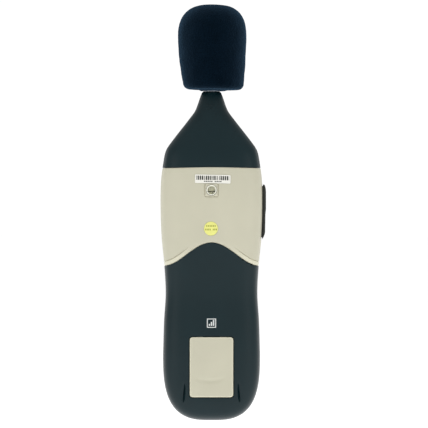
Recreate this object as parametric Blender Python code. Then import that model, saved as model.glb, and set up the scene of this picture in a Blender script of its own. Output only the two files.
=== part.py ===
"""Handheld sound level meter with a foam windscreen.

The origin is the mouth of the tripod socket, in the middle of the back. +Z runs up to
the microphone, +Y points out of the back, and the display and the keys face -Y.
Dimensions are in millimetres, and solid() turns them into Blender's metres.
"""

import math

import bmesh
import bpy
from mathutils import Matrix, Vector

MM = 0.001
GAP = 0.3  # clearance between neighbouring pieces
BEYOND = 60.0  # reach of a cutter that runs right out of the body
PROUD = 3.0  # how far a curved cutter stands out of the surface that it cuts

# Housing: two half shells that meet at the microphone's axis
REAR, FRONT = 1, -1
PART_Y = -19.0
BODY_TOP = 71.6
HALF_WIDTH = (
    (71.6, 5.8), (70.6, 7.0), (57.9, 11.7), (53.0, 15.1), (35.0, 29.05), (29.0, 32.95), (22.0, 34.65),
    (6.0, 36.7), (-15.0, 37.0), (-35.0, 36.1), (-55.0, 34.2), (-75.0, 33.25), (-95.0, 34.45), (-119.0, 35.15),
)
DEPTH = {
    REAR: ((71.6, 5.4), (70.6, 6.8), (57.0, 10.5), (34.0, 15.6), (20.0, 17.9), (0.0, 18.4),
           (-30.0, 18.1), (-75.0, 16.8), (-110.0, 17.8), (-125.0, 18.0)),
    FRONT: ((71.6, 5.4), (70.6, 6.8), (57.0, 10.5), (34.0, 17.0), (22.0, 20.4), (0.0, 21.0),
            (-25.0, 20.5), (-55.0, 18.6), (-80.0, 17.8), (-125.0, 18.4)),
}
NECK_POWER = 2.0  # superellipse power of the section at the neck, where it is round
BODY_POWER = {REAR: 3.0, FRONT: 3.6}
NECK_Z, SHOULDER_Z = 58.0, 30.0
CAP_START, CAP_LENGTH, CAP_POWER = -119.0, 47.6, 2.94  # round lower end, seen from behind
END_START, END_LENGTH, END_POWER = -150.0, 16.6, 2.5  # the same end, seen from the side
CAP_STEPS = 8
CAP_LAST_ANGLE = math.radians(87)  # the last ring stops just short of a point
SECTION_STEPS, CUTTER_STEPS = 14, 12
WALL = 2.2
PANEL_WALL = 3.9  # wall where the grey panels are let in
PANEL_WALL_LOW, PANEL_WALL_HIGH = -58.0, 30.0

# Grey panels, with a wavy lower edge that runs round the body
PANEL = 1.6
PANEL_SIDE_TOP = 16.0
PANEL_ARCH = {REAR: 0.0, FRONT: 12.0}
WAVE_LOW, WAVE_HEIGHT, WAVE_HALF = -54.7, 17.0, 36.0
LABEL_X, LABEL_Z, LABEL_CORNER = (-13.75, 11.95), (4.9, 11.1), 0.6
STICKER_X, STICKER_Z, STICKER_RADIUS = 0.4, -27.7, 5.0
POCKET_DEPTH, PRINT_PROUD = 0.5, 0.1  # label and sticker lie in shallow pockets of the rear panel
WAVE_STEPS = 21  # odd, so that no corner of the edge lands on the bodies' middle line

# Tripod socket for a 1/4 inch camera screw
PAD_HALF_X, PAD_HALF_Z, PAD_CORNER = 4.5, 4.5, 0.8
SOCKET_RADIUS, SOCKET_DEPTH = 3.05, 8.0
BUSH_RADIUS, BUSH_FLANGE_RADIUS, BUSH_LENGTH, BUSH_FLANGE_Y = 3.7, 5.2, 9.0, -3.4
BUSH_BOSS_RADIUS = 7.6

# Battery compartment
DOOR_HALF, DOOR_TOP, DOOR_BOTTOM, DOOR_CORNER, DOOR = 15.7, -105.9, -149.2, 2.0, 2.2
DOOR_AXIS = (0.0, -1.2, DOOR_TOP)
HOOK_X, HOOK_HALF, LATCH_HALF = 8.5, 2.5, 5.0
DOOR_PAD_HALF, DOOR_PAD_Y, DOOR_PAD_Z = 9.0, (-5.5, -4.1), (-140.0, -116.0)
TUB_HALF, TUB_WALL, DOOR_LEDGE_Y = 13.9, 2.5, -4.5
TUB_TOP, TUB_BOTTOM, TUB_FLOOR_Y, TUB_ROOF_Y = -97.0, -150.6, -23.9, -4.0
BATTERY_HALF, BATTERY_Y, BATTERY_Z = 13.25, (-23.6, -6.1), (-150.2, -103.8)
STUD_X, STUD_TOP, SMALL_STUD_RADIUS, LARGE_STUD_RADIUS = 6.35, -101.7, 2.9, 3.5
SNAP_HALF_X, SNAP_HALF_Y, SNAP_TOP = 12.5, 5.5, -98.6
LEAD_X, LEAD_RADIUS = 3.0, 0.65

# Boards and screws
BOARD_OUTLINE = (  # right half, from the top down
    (12.0, 42.0), (21.0, 34.0), (26.0, 24.0), (29.5, 16.0), (29.5, -50.0), (27.0, -60.0), (27.0, -141.0),
)
BOARD_BACK_Y, BOARD_FRONT_Y = -25.7, -27.3
CASE_SCREWS = ((-25.5, 12.0), (25.5, 12.0), (-25.5, -45.0), (25.5, -45.0))
BOARD_SCREWS = ((-15.0, 30.0), (15.0, 30.0), (-22.0, -128.0), (22.0, -128.0))
POST_RADIUS, BOARD_POST_RADIUS = 3.6, 2.8
BOSS_RADIUS = 4.2
SCREW_HOLE_RADIUS, HEAD_HOLE_RADIUS, BOARD_HOLE_RADIUS = 1.7, 3.0, 1.3
CASE_HEAD_RADIUS, CASE_SHANK_RADIUS, BOARD_HEAD_RADIUS, BOARD_SHANK_RADIUS = 2.6, 1.4, 2.2, 1.0
BOARD_SCREW_REACH = 4.0
CHIP_X, CHIP_Z, CHIP = (4.0, 18.0), (-14.0, 0.0), 1.6
CAN_X, CAN_Z, CAN = (-9.0, 9.0), (14.0, 26.0), 4.0
POST_TOP_Y = -17.8
POST_SUNK = 1.2  # how far a post stays below the outside of the wall that it grows from
CASE_HEAD, BOARD_HEAD, CASE_TIP_Y = 1.8, 1.6, -27.0

# Display
LENS_HALF, LENS_Z = 21.0, (-20.5, 17.5)
LENS_INSET, LENS = 0.4, 1.2
WINDOW_HALF, WINDOW_Z = 19.6, (-19.1, 16.1)
LCD_HALF, LCD_Z, LCD_Y = 19.3, (-18.4, 15.4), (-33.8, -31.8)
LCD_STRIP, LCD_BACK_Y, BACKLIGHT_Y = 2.4, -31.5, -28.6
FRAME_HALF, FRAME_Z, FRAME_Y = 21.5, (-20.8, 17.8), -34.0

# Keys, in three rows. OVAL and ROUND are half widths and half heights
KEY_COLUMN_X = 16.0
KEY_ROWS_Z = (-62.0, -78.0, -94.0)
OVAL, ROUND = (6.5, 4.0), (6.5, 6.5)
SIDE_KEYS = (("hold", "range"), ("max_min", "response"), ("weighting", "backlight"))
CENTRE_KEYS = (("up", OVAL), ("down", OVAL), ("power", ROUND))
KEY_PROUD, KEY_FLANGE = 1.0, 0.6
KEY_BACK_Y, KEY_FLANGE_Y = -30.9, -31.7
MEMBRANE_HALF, MEMBRANE_Y, MEMBRANE_Z = 25.0, -28.8, (-103.0, -56.0)
DOME_RADIUS, DOME_Y = 3.0, (-29.7, -28.0)

# Microphone and windscreen, turned about the parting line of the neck
MIC_RADIUS, SPIGOT_RADIUS, TUBE_INNER_RADIUS, SPIGOT_INNER_RADIUS = 6.35, 4.8, 5.7, 4.0
CAPSULE_PLUG_RADIUS, CAPSULE_BOTTOM = 5.4, 95.0
GRID_INNER_RADIUS, GRID_ROUNDING, GRID_WALL = 5.3, 0.8, 1.2
PREAMP_HALF_X, PREAMP_HALF_Y, PREAMP_Z = 4.6, 0.8, (74.5, 94.0)
MIC_LEAD_RADIUS = 1.1
TUBE_BOTTOM, TUBE_SHOULDER, TUBE_TOP, CAPSULE_TOP, MIC_TIP = 58.0, 72.0, 97.0, 104.0, 111.0
FOAM_BOTTOM, FOAM_TOP, FOAM_WIDEST_Z = 72.6, 134.6, 110.0
FOAM_RADIUS, FOAM_LOW_RADIUS, FOAM_CORNER, FOAM_POWER = 24.9, 21.7, 3.6, 2.65

# Sockets behind the rubber cover, on the -X side
PORT_HALF, PORT_Z = 5.0, (-34.8, 3.7)
PORT_PLATE_X = (-34.6, -33.0)
SOCKET_BACK_X = -24.9
DC_Z, USB_Z, OUTPUT_Z, TRIMMER_Z = -3.2, -14.0, -23.4, -30.6
JACK_FACE_X = -34.3
DC_HOLE, DC_BARREL, DC_BORE, DC_HALF, DC_PIN = 3.6, 3.3, 2.8, 4.4, 0.9
OUTPUT_HOLE, OUTPUT_BARREL, OUTPUT_BORE, OUTPUT_HALF = 3.3, 3.0, 1.8, 3.6
USB_HALF_Y, USB_HALF_Z, USB_SHELL = 1.95, 3.9, 0.45
TRIMMER_X, TRIMMER_HALF_Y, TRIMMER_HALF_Z = (-31.8, SOCKET_BACK_X), 3.3, 3.2
WELL_RADIUS, WELL_X, TRIMMER_HOLE = 1.5, -29.5, 1.7
CAL_SCREW_RADIUS, CAL_SCREW_X = 1.2, (-33.9, -29.8)
PORT_BOARD, PORT_BOARD_Y, PORT_BOARD_Z = 1.4, -13.6, (-34.5, 3.0)
HEADER, HEADER_Y, HEADER_Z = 2.5, -17.0, (-28.0, -4.0)
COVER_X, COVER_HALF, COVER_Z = (-39.5, -37.3), 5.4, (-35.3, 4.2)
COVER_AXIS = (-38.4, PART_Y, -34.2)

FINISHES = {  # sRGB colour, roughness, metallic
    "slate_plastic": ((47, 62, 66), 0.55, 0.0),
    "grey_plastic": ((203, 203, 185), 0.5, 0.0),
    "foam": ((14, 24, 36), 0.95, 0.0),
    "rubber": ((66, 68, 62), 0.8, 0.0),
    "dark_rubber": ((40, 44, 46), 0.75, 0.0),
    "brass": ((196, 164, 92), 0.35, 1.0),
    "steel": ((176, 178, 180), 0.35, 1.0),
    "board": ((28, 92, 58), 0.5, 0.0),
    "black_plastic": ((26, 27, 28), 0.5, 0.0),
    "white_plastic": ((232, 232, 226), 0.5, 0.0),
    "glass": ((205, 214, 210), 0.1, 0.0),
    "lcd": ((150, 164, 140), 0.2, 0.0),
    "label": ((244, 244, 240), 0.6, 0.0),
    "sticker": ((238, 242, 130), 0.6, 0.0),
    "red_wire": ((176, 28, 24), 0.5, 0.0),
    "black_wire": ((24, 24, 24), 0.5, 0.0),
}


# ---------------------------------------------------------------- mesh helpers
def clear_scene():
    for item in list(bpy.data.objects):
        bpy.data.objects.remove(item, do_unlink=True)


def linear(channel):
    value = channel / 255
    return value / 12.92 if value <= 0.04045 else ((value + 0.055) / 1.055) ** 2.4


def paint(obj, finish):
    colour, roughness, metallic = FINISHES[finish]
    made = bpy.data.materials.new(f"{obj.name}_{finish}")
    made.use_nodes = True
    shader = made.node_tree.nodes["Principled BSDF"]
    shader.inputs["Base Color"].default_value = (*map(linear, colour), 1.0)
    shader.inputs["Roughness"].default_value = roughness
    shader.inputs["Metallic"].default_value = metallic
    obj.data.materials.append(made)


def solid(name, bm, finish=None):
    """An object of this mesh, in metres, with its faces outwards. One with no finish is a cutter."""
    bmesh.ops.recalc_face_normals(bm, faces=bm.faces)
    bmesh.ops.scale(bm, vec=(MM, MM, MM), verts=bm.verts)
    mesh = bpy.data.meshes.new(name)
    bm.to_mesh(mesh)
    bm.free()
    mesh.shade_smooth()
    mesh.set_sharp_from_angle(angle=math.radians(35))
    obj = bpy.data.objects.new(name, mesh)
    bpy.context.scene.collection.objects.link(obj)
    if finish:
        paint(obj, finish)
    else:
        obj.hide_render = True
        obj.display_type = "WIRE"
    return obj


def loft(name, rings, finish=None):
    """Closed rings of the same number of points, skinned in turn and capped at both ends."""
    bm = bmesh.new()
    made = [[bm.verts.new(point) for point in ring] for ring in rings]
    for low, high in zip(made, made[1:]):
        for k, start in enumerate(low):
            after = (k + 1) % len(low)
            bm.faces.new((start, low[after], high[after], high[k]))
    bm.faces.new(made[0])
    bm.faces.new(made[-1])
    return solid(name, bm, finish)


def prism(name, outline, low, high, finish=None, axis="Y"):
    """An outline drawn across an axis and extruded along it: (x, z) for Y, (y, z) for X."""
    def lift(u, v, along_axis):
        return (u, along_axis, v) if axis == "Y" else (along_axis, u, v)
    return loft(name, [[lift(u, v, end) for u, v in outline] for end in (low, high)], finish)


def box(name, x, y, z, finish=None):
    return prism(name, rectangle(x[0], x[1], z[0], z[1]), y[0], y[1], finish)


def rectangle(low_u, high_u, low_v, high_v):
    return [(low_u, low_v), (high_u, low_v), (high_u, high_v), (low_u, high_v)]


def rounded(low_u, high_u, low_v, high_v, radius, steps=3):
    """A rectangle with round corners."""
    points = []
    for corner, (u, v) in enumerate(((high_u, high_v), (low_u, high_v), (low_u, low_v), (high_u, low_v))):
        centre_u = u - math.copysign(radius, u - (low_u + high_u) / 2)
        centre_v = v - math.copysign(radius, v - (low_v + high_v) / 2)
        for k in range(steps + 1):
            angle = math.pi / 2 * (corner + k / steps)
            points.append((centre_u + radius * math.cos(angle), centre_v + radius * math.sin(angle)))
    return points


def ellipse(u, v, radius_u, radius_v, steps=16):
    angles = [2 * math.pi * k / steps for k in range(steps)]
    return [(u + radius_u * math.cos(a), v + radius_v * math.sin(a)) for a in angles]


def turned(name, profile, centre, finish=None, axis="Z", closed=False, steps=20):
    """A profile of (radius, height) points spun about an axis: from axis to axis, or a closed ring."""
    bm = bmesh.new()
    rings = []
    for radius, height in profile:
        angles = [2 * math.pi * k / steps for k in range(steps if radius else 1)]
        rings.append([bm.verts.new((radius * math.cos(a), radius * math.sin(a), height)) for a in angles])
    pairs = list(zip(rings, rings[1:])) + ([(rings[-1], rings[0])] if closed else [])
    for low, high in pairs:
        for k in range(steps):
            after = k + 1
            corners = (low[k % len(low)], low[after % len(low)], high[after % len(high)], high[k % len(high)])
            face = list(dict.fromkeys(corners))
            if len(face) > 2:
                bm.faces.new(face)
    turn = {"X": Matrix.Rotation(math.pi / 2, 4, "Y"), "Y": Matrix.Rotation(-math.pi / 2, 4, "X")}
    bmesh.ops.transform(bm, matrix=turn.get(axis, Matrix.Identity(4)), verts=bm.verts)
    bmesh.ops.translate(bm, vec=centre, verts=bm.verts)
    return solid(name, bm, finish)


def rod(name, radius, low, high, centre, finish=None, axis="Y", steps=14):
    profile = [(0.0, low), (radius, low), (radius, high), (0.0, high)]
    return turned(name, profile, centre, finish, axis=axis, steps=steps)


def combine(obj, operation, *others):
    """One Boolean modifier that joins or cuts the object with all of the others, which become cutters."""
    modifier = obj.modifiers.new(operation.title(), "BOOLEAN")
    modifier.operation = operation
    modifier.solver = "EXACT"
    if len(others) == 1:
        modifier.object = others[0]
        return obj
    group = bpy.data.collections.new(f"{obj.name}_{operation.lower()}")
    for other in others:
        group.objects.link(other)
    modifier.operand_type = "COLLECTION"
    modifier.collection = group
    return obj


def pivot(obj, point):
    """Moves the object's origin to a point on its joint axis, and leaves its shape where it is."""
    offset = Vector(point) * MM
    obj.data.transform(Matrix.Translation(-offset))
    obj.location = offset


def lead(name, route, radius, finish, points=12):
    """A held wire: a round tube along a smooth curve through the route's points."""
    curve = bpy.data.curves.new(name, "CURVE")
    curve.dimensions = "3D"
    curve.bevel_depth = radius * MM
    curve.bevel_resolution = 2
    curve.use_fill_caps = True
    spline = curve.splines.new("POLY")
    spline.points.add(points - 1)
    for k, point in enumerate(spline.points):
        spot = k / (points - 1) * (len(route) - 1)
        first = min(int(spot), len(route) - 2)
        point.co = (*(smooth_between(route, first, spot - first) * MM), 1.0)
    obj = bpy.data.objects.new(name, curve)
    bpy.context.scene.collection.objects.link(obj)
    paint(obj, finish)
    return obj


def smooth_between(route, first, t):
    """A point of the Catmull-Rom curve through the route, between point first and the next."""
    before, start = Vector(route[max(first - 1, 0)]), Vector(route[first])
    end, after = Vector(route[first + 1]), Vector(route[min(first + 2, len(route) - 1)])
    leave, arrive = (end - before) / 2, (after - start) / 2
    return (
        (2 * t**3 - 3 * t**2 + 1) * start + (t**3 - 2 * t**2 + t) * leave
        + (3 * t**2 - 2 * t**3) * end + (t**3 - t**2) * arrive
    )


# ---------------------------------------------------------------- body form
def along(stations, z):
    """A smooth curve through (z, value) stations listed from the top down."""
    last = len(stations) - 1
    first = next((k for k in range(last) if z >= stations[k + 1][0]), last - 1)

    def slope(k):
        high, low = stations[max(k - 1, 0)], stations[min(k + 1, last)]
        return (low[1] - high[1]) / (low[0] - high[0])

    (start, start_value), (end, end_value) = stations[first], stations[first + 1]
    step = end - start
    t = (z - start) / step
    return (
        (2 * t**3 - 3 * t**2 + 1) * start_value + (t**3 - 2 * t**2 + t) * step * slope(first)
        + (3 * t**2 - 2 * t**3) * end_value + (t**3 - t**2) * step * slope(first + 1)
    )


def superellipse(share, power):
    return max(1 - share**power, 0.0) ** (1 / power)


def size_at(side, z, inset):
    """Half width and depth of one half's section at this height, this far inside the surface."""
    width = along(HALF_WIDTH, max(z, CAP_START)) - inset
    depth = along(DEPTH[side], max(z, CAP_START)) - inset
    if z < CAP_START:
        width *= superellipse((CAP_START - z) / (CAP_LENGTH - inset), CAP_POWER)
    if z < END_START:
        depth *= superellipse((END_START - z) / (END_LENGTH - inset), END_POWER)
    return width, depth


def surface_y(side, x, z, inset=0.0):
    width, depth = size_at(side, z, inset)
    return PART_Y + side * depth * superellipse(abs(x) / width, BODY_POWER[side])


def half_section(side, z, inset, base, steps):
    """The ring of one half at this height. Its flat side stands at base, out from the parting plane."""
    width, depth = size_at(side, z, inset)
    share = min(max((NECK_Z - z) / (NECK_Z - SHOULDER_Z), 0.0), 1.0)
    power = NECK_POWER + (BODY_POWER[side] - NECK_POWER) * share
    ring = []
    for k in range(steps + 1):
        angle = math.pi * k / steps
        reach = (abs(math.cos(angle)) ** power + abs(math.sin(angle)) ** power) ** (-1 / power)
        out = max(depth * reach * math.sin(angle), max(base, 0.0))
        ring.append((width * reach * math.cos(angle), PART_Y + side * out, z))
    if base < 0:
        flat = PART_Y + side * base
        ring = [(width, flat, z), *ring, (-width, flat, z)]
    return ring


def half_body(name, side, inset=0.0, base=GAP / 2, finish=None, top=BODY_TOP, wall=None):
    """One half of the body as a solid, inset from the outer surface. wall(z) makes the inset vary."""
    wall = wall or (lambda z: inset)
    steps = SECTION_STEPS if finish else CUTTER_STEPS
    heights = [top, *(z for z, _ in HALF_WIDTH if z < top - 0.5)]
    end = CAP_LENGTH - wall(CAP_START)
    heights += [CAP_START - end * math.sin(CAP_LAST_ANGLE * k / CAP_STEPS) for k in range(1, CAP_STEPS + 1)]
    return loft(name, [half_section(side, z, wall(z), base, steps) for z in heights], finish)


def panel_wall(z):
    """Wall thickness, which grows where a panel is let into the shell."""
    high = min(max((PANEL_WALL_HIGH - z) / 4, 0.0), 1.0)
    low = min(max((z - PANEL_WALL_LOW) / 4, 0.0), 1.0)
    return WALL + (PANEL_WALL - WALL) * min(high, low)


def wave(x):
    """Height of the panels' lower edge."""
    share = min(abs(x) / WAVE_HALF, 1.0)
    return WAVE_LOW + WAVE_HEIGHT * (0.5 + 0.5 * math.cos(math.pi * share))


def panel_prism(name, side, grow=0.0):
    """A block across the body between a panel's top edge and its wavy lower edge."""
    reach = 45.0
    across = [reach * (2 * k / WAVE_STEPS - 1) for k in range(WAVE_STEPS + 1)]
    arch = [0.5 + 0.5 * math.cos(math.pi * min(abs(x) / WAVE_HALF, 1.0)) for x in across]
    top = [(x, PANEL_SIDE_TOP + PANEL_ARCH[side] * rise + grow) for x, rise in zip(across, arch)]
    bottom = [(x, wave(x) - grow) for x in reversed(across)]
    if not PANEL_ARCH[side]:
        top = [top[0], top[-1]]
    return prism(name, top + bottom, PART_Y + side * -5.0, PART_Y + side * BEYOND)


def skin(name, side, cutter, inset, thickness, finish, base=GAP / 2):
    """A curved plate of this thickness that follows the body, inside the cutter's outline."""
    plate = half_body(name, side, inset, base, finish)
    inner = half_body(f"{name}_inner_cut", side, inset + thickness, -2.0)
    combine(plate, "INTERSECT", cutter)
    return combine(plate, "DIFFERENCE", inner)


# ---------------------------------------------------------------- housing
def cut_panel_recess(shell, side):
    band = half_body(f"{shell.name}_panel_cut", side, -PROUD, -1.0)
    core = half_body(f"{shell.name}_panel_core", side, PANEL + GAP, -2.0)
    combine(band, "INTERSECT", panel_prism(f"{shell.name}_panel_prism", side, GAP))
    combine(band, "DIFFERENCE", core)
    combine(shell, "DIFFERENCE", band)


def port_cut(name, grow=0.0):
    """The slot through the side of the housing for the sockets."""
    outline = rounded(PART_Y - PORT_HALF - grow, PART_Y + PORT_HALF + grow,
                      PORT_Z[0] - grow, PORT_Z[1] + grow, 1.5 + grow)
    return prism(name, outline, -BEYOND, PORT_PLATE_X[1] + 5.0, axis="X")


def shell_half(name, side):
    """One half shell: outer form, cavity, panel recess, neck bore and the slot for the sockets."""
    shell = half_body(name, side, finish="slate_plastic")
    cavity = half_body(f"{name}_cavity", side, base=-1.0, top=BODY_TOP - 3.0, wall=panel_wall)
    combine(shell, "DIFFERENCE", cavity)
    cut_panel_recess(shell, side)
    bore = rod(f"{name}_neck_bore", SPIGOT_RADIUS + GAP, 55.0, 80.0, (0, PART_Y, 0), axis="Z")
    combine(shell, "DIFFERENCE", bore, port_cut(f"{name}_port_cut"))
    return shell


def case_seat(x, z):
    """Where a case screw's head bears on the rear shell, low enough to clear the grey panel."""
    return surface_y(REAR, abs(x) + HEAD_HOLE_RADIUS, z, PANEL + GAP) - CASE_HEAD - GAP


def rear_shell():
    shell = shell_half("rear_shell", REAR)
    tub = box("tub_block", (-TUB_HALF - TUB_WALL, TUB_HALF + TUB_WALL), (TUB_FLOOR_Y - 1.3, -2.5),
              (TUB_BOTTOM - 1.6, TUB_TOP + 1.6))
    bosses = [rod("bush_boss", BUSH_BOSS_RADIUS, -11.0, -3.2, (0, 0, 0))]
    for k, (x, z) in enumerate(CASE_SCREWS):
        roof = surface_y(REAR, abs(x) + BOSS_RADIUS, z, PANEL + GAP) - POST_SUNK
        bosses.append(rod(f"rear_boss_{k + 1}", BOSS_RADIUS, POST_TOP_Y + GAP, roof, (x, 0, z)))
    combine(shell, "UNION", tub, *bosses)

    hollow = box("tub_hollow", (-TUB_HALF, TUB_HALF), (TUB_FLOOR_Y, TUB_ROOF_Y), (TUB_BOTTOM, TUB_TOP))
    opening = prism("door_opening", door_outline(GAP), DOOR_LEDGE_Y, 10.0)
    wire_slot = box("wire_slot", (-5.0, 5.0), (-18.5, -11.5), (TUB_TOP - 1.0, TUB_TOP + 3.0))
    bores = [rod("bush_bore", BUSH_FLANGE_RADIUS + GAP, -BUSH_LENGTH - GAP, 5.0, (0, 0, 0))]
    for k, (x, z) in enumerate(CASE_SCREWS):
        seat = case_seat(x, z)
        stepped = [(0.0, -25.0), (SCREW_HOLE_RADIUS, -25.0), (SCREW_HOLE_RADIUS, seat),
                   (HEAD_HOLE_RADIUS, seat), (HEAD_HOLE_RADIUS, 5.0), (0.0, 5.0)]
        bores.append(turned(f"case_screw_bore_{k + 1}", stepped, (x, 0, z), axis="Y", steps=12))
    return combine(shell, "DIFFERENCE", hollow, opening, wire_slot, *bores)


def front_shell():
    shell = shell_half("front_shell", FRONT)
    posts, holes = [], []
    for k, (x, z) in enumerate(CASE_SCREWS):
        floor = surface_y(FRONT, abs(x) + POST_RADIUS, z, PANEL + GAP) + POST_SUNK
        posts.append(rod(f"front_post_{k + 1}", POST_RADIUS, floor, POST_TOP_Y, (x, 0, z)))
        holes.append(rod(f"pilot_bore_{k + 1}", SCREW_HOLE_RADIUS, CASE_TIP_Y - 1, 0.0, (x, 0, z), steps=12))
    for k, (x, z) in enumerate(BOARD_SCREWS):
        floor = surface_y(FRONT, abs(x) + BOARD_POST_RADIUS, z - 2.0) + WALL / 2
        posts.append(rod(f"board_post_{k + 1}", BOARD_POST_RADIUS, floor, BOARD_FRONT_Y - GAP, (x, 0, z)))
        pilot_end = BOARD_FRONT_Y - BOARD_SCREW_REACH - 0.6
        holes.append(rod(f"board_pilot_{k + 1}", BOARD_HOLE_RADIUS, pilot_end, 0.0, (x, 0, z), steps=12))
    combine(shell, "UNION", *posts)

    holes.append(prism("window_cut", rounded(-WINDOW_HALF, WINDOW_HALF, *WINDOW_Z, 1.5), -BEYOND, -30.0))
    for name, x, z, half_x, half_z in key_places():
        outline = ellipse(x, z, half_x + GAP, half_z + GAP)
        holes.append(prism(f"{name}_hole", outline, -BEYOND, KEY_BACK_Y))
    return combine(shell, "DIFFERENCE", *holes)


def rear_panel():
    panel = skin("rear_panel", REAR, panel_prism("rear_panel_prism", REAR), 0.0, PANEL, "grey_plastic")
    pad_outline = rounded(-PAD_HALF_X, PAD_HALF_X, -PAD_HALF_Z, PAD_HALF_Z, PAD_CORNER)
    pad = prism("tripod_pad", pad_outline, -PANEL, 0.0)
    combine(panel, "UNION", pad)
    bore = rod("pad_bore", BUSH_RADIUS + GAP, -8.0, 5.0, (0, 0, 0), steps=24)
    combine(panel, "DIFFERENCE", bore, port_cut("rear_panel_port_cut"))
    for name, outline in (("label", label_outline(GAP)), ("sticker", sticker_outline(GAP))):
        pocket = half_body(f"{name}_pocket", REAR, -PROUD, -1.0)
        core = half_body(f"{name}_pocket_core", REAR, POCKET_DEPTH, -2.0)
        combine(pocket, "INTERSECT", prism(f"{name}_pocket_prism", outline, -8.0, 5.0))
        combine(pocket, "DIFFERENCE", core)
        combine(panel, "DIFFERENCE", pocket)


def label_outline(grow=0.0):
    return rounded(LABEL_X[0] - grow, LABEL_X[1] + grow, LABEL_Z[0] - grow, LABEL_Z[1] + grow,
                   LABEL_CORNER, steps=2)


def sticker_outline(grow=0.0):
    radius = STICKER_RADIUS + grow
    return ellipse(STICKER_X, STICKER_Z, radius, radius, steps=28)


def front_panel():
    panel = skin("front_panel", FRONT, panel_prism("front_panel_prism", FRONT), 0.0, PANEL, "grey_plastic")
    outline = rounded(-LENS_HALF - GAP, LENS_HALF + GAP, LENS_Z[0] - GAP, LENS_Z[1] + GAP, 2.5)
    opening = prism("lens_opening", outline, -BEYOND, -25.0)
    combine(panel, "DIFFERENCE", opening, port_cut("front_panel_port_cut"))


def labels():
    for name, outline, finish in (
        ("serial_label", label_outline(), "label"),
        ("round_sticker", sticker_outline(), "sticker"),
    ):
        skin(name, REAR, prism(f"{name}_prism", outline, -8.0, 5.0), -PRINT_PROUD, GAP, finish)


# ---------------------------------------------------------------- battery
def door_outline(grow=0.0):
    return rounded(-DOOR_HALF - grow, DOOR_HALF + grow, DOOR_BOTTOM - grow, DOOR_TOP + grow, DOOR_CORNER)


def battery_door():
    blank = prism("door_prism", door_outline(), -12.0, 5.0)
    door = skin("battery_door", REAR, blank, 0.0, DOOR, "grey_plastic")
    for name, x in (("left", -HOOK_X), ("right", HOOK_X)):
        across = (x - HOOK_HALF, x + HOOK_HALF)
        hook = box(f"door_hook_{name}", across, (-5.4, -4.3), (DOOR_TOP - 2.4, DOOR_TOP + 1.3))
        stem = box(f"door_hook_stem_{name}", across, (-4.9, -2.4), (DOOR_TOP - 2.4, DOOR_TOP - 0.8))
        combine(door, "UNION", hook, stem)
    latch = box("door_latch", (-LATCH_HALF, LATCH_HALF), (-5.6, -2.4), (DOOR_BOTTOM + 0.6, DOOR_BOTTOM + 1.8))
    combine(door, "UNION", latch)
    pivot(door, DOOR_AXIS)
    pad = box("door_pad", (-DOOR_PAD_HALF, DOOR_PAD_HALF), DOOR_PAD_Y, DOOR_PAD_Z, "foam")
    pivot(pad, DOOR_AXIS)


def battery():
    outline = rounded(-BATTERY_HALF, BATTERY_HALF, *BATTERY_Z, 1.0, steps=2)
    cell = prism("battery_9v", outline, *BATTERY_Y, "steel")
    middle = sum(BATTERY_Y) / 2
    snap = box("battery_snap", (-SNAP_HALF_X, SNAP_HALF_X), (middle - SNAP_HALF_Y, middle + SNAP_HALF_Y),
               (BATTERY_Z[1] + GAP, SNAP_TOP), "black_plastic")
    for name, x, radius in (("small", -STUD_X, SMALL_STUD_RADIUS), ("large", STUD_X, LARGE_STUD_RADIUS)):
        stud = rod(f"stud_{name}", radius, BATTERY_Z[1] - 1.0, STUD_TOP, (x, middle, 0), axis="Z")
        combine(cell, "UNION", stud)
        bore = rod(f"stud_{name}_bore", radius + GAP, -110.0, STUD_TOP + GAP, (x, middle, 0), axis="Z")
        combine(snap, "DIFFERENCE", bore)
    for colour, x in (("red", LEAD_X), ("black", -LEAD_X)):
        route = ((x, middle, SNAP_TOP + GAP), (x, middle, -94.0), (x, -19.5, -90.0),
                 (x, BOARD_BACK_Y + GAP, -88.0))
        lead(f"battery_lead_{colour}", route, LEAD_RADIUS, f"{colour}_wire")


# ---------------------------------------------------------------- electronics
def screw(name, head_radius, shank_radius, low, seat, head, place):
    """A screw whose head bears on the seat, with a gap under it."""
    under, top = seat + GAP, seat + GAP + head
    profile = [(0.0, low), (shank_radius, low), (shank_radius, under), (head_radius, under),
               (head_radius, top), (0.0, top)]
    made = turned(name, profile, (place[0], 0, place[1]), "steel", axis="Y", steps=12)
    slot = box(f"{name}_slot", (place[0] - head_radius - 1, place[0] + head_radius + 1), (top - 0.6, top + 1),
               (place[1] - 0.35, place[1] + 0.35))
    combine(made, "DIFFERENCE", slot)


def screws():
    for k, place in enumerate(CASE_SCREWS):
        screw(f"case_screw_{k + 1}", CASE_HEAD_RADIUS, CASE_SHANK_RADIUS, CASE_TIP_Y, case_seat(*place),
              CASE_HEAD - GAP, place)
    for k, place in enumerate(BOARD_SCREWS):
        tip = BOARD_FRONT_Y - BOARD_SCREW_REACH
        screw(f"board_screw_{k + 1}", BOARD_HEAD_RADIUS, BOARD_SHANK_RADIUS, tip, BOARD_BACK_Y,
              BOARD_HEAD, place)


def main_board():
    outline = [(-x, z) for x, z in BOARD_OUTLINE] + list(reversed(BOARD_OUTLINE))
    board = prism("main_board", outline, BOARD_FRONT_Y, BOARD_BACK_Y, "board")
    holes = [rod(f"post_hole_{k + 1}", POST_RADIUS + GAP, -40, -10, (x, 0, z))
             for k, (x, z) in enumerate(CASE_SCREWS)]
    holes += [rod(f"screw_hole_{k + 1}", BOARD_HOLE_RADIUS, -40, -10, (x, 0, z), steps=12)
              for k, (x, z) in enumerate(BOARD_SCREWS)]
    combine(board, "DIFFERENCE", *holes)
    back = BOARD_BACK_Y + GAP
    box("processor_chip", CHIP_X, (back, back + CHIP), CHIP_Z, "black_plastic")
    box("shield_can", CAN_X, (back, back + CAN), CAN_Z, "steel")


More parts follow.
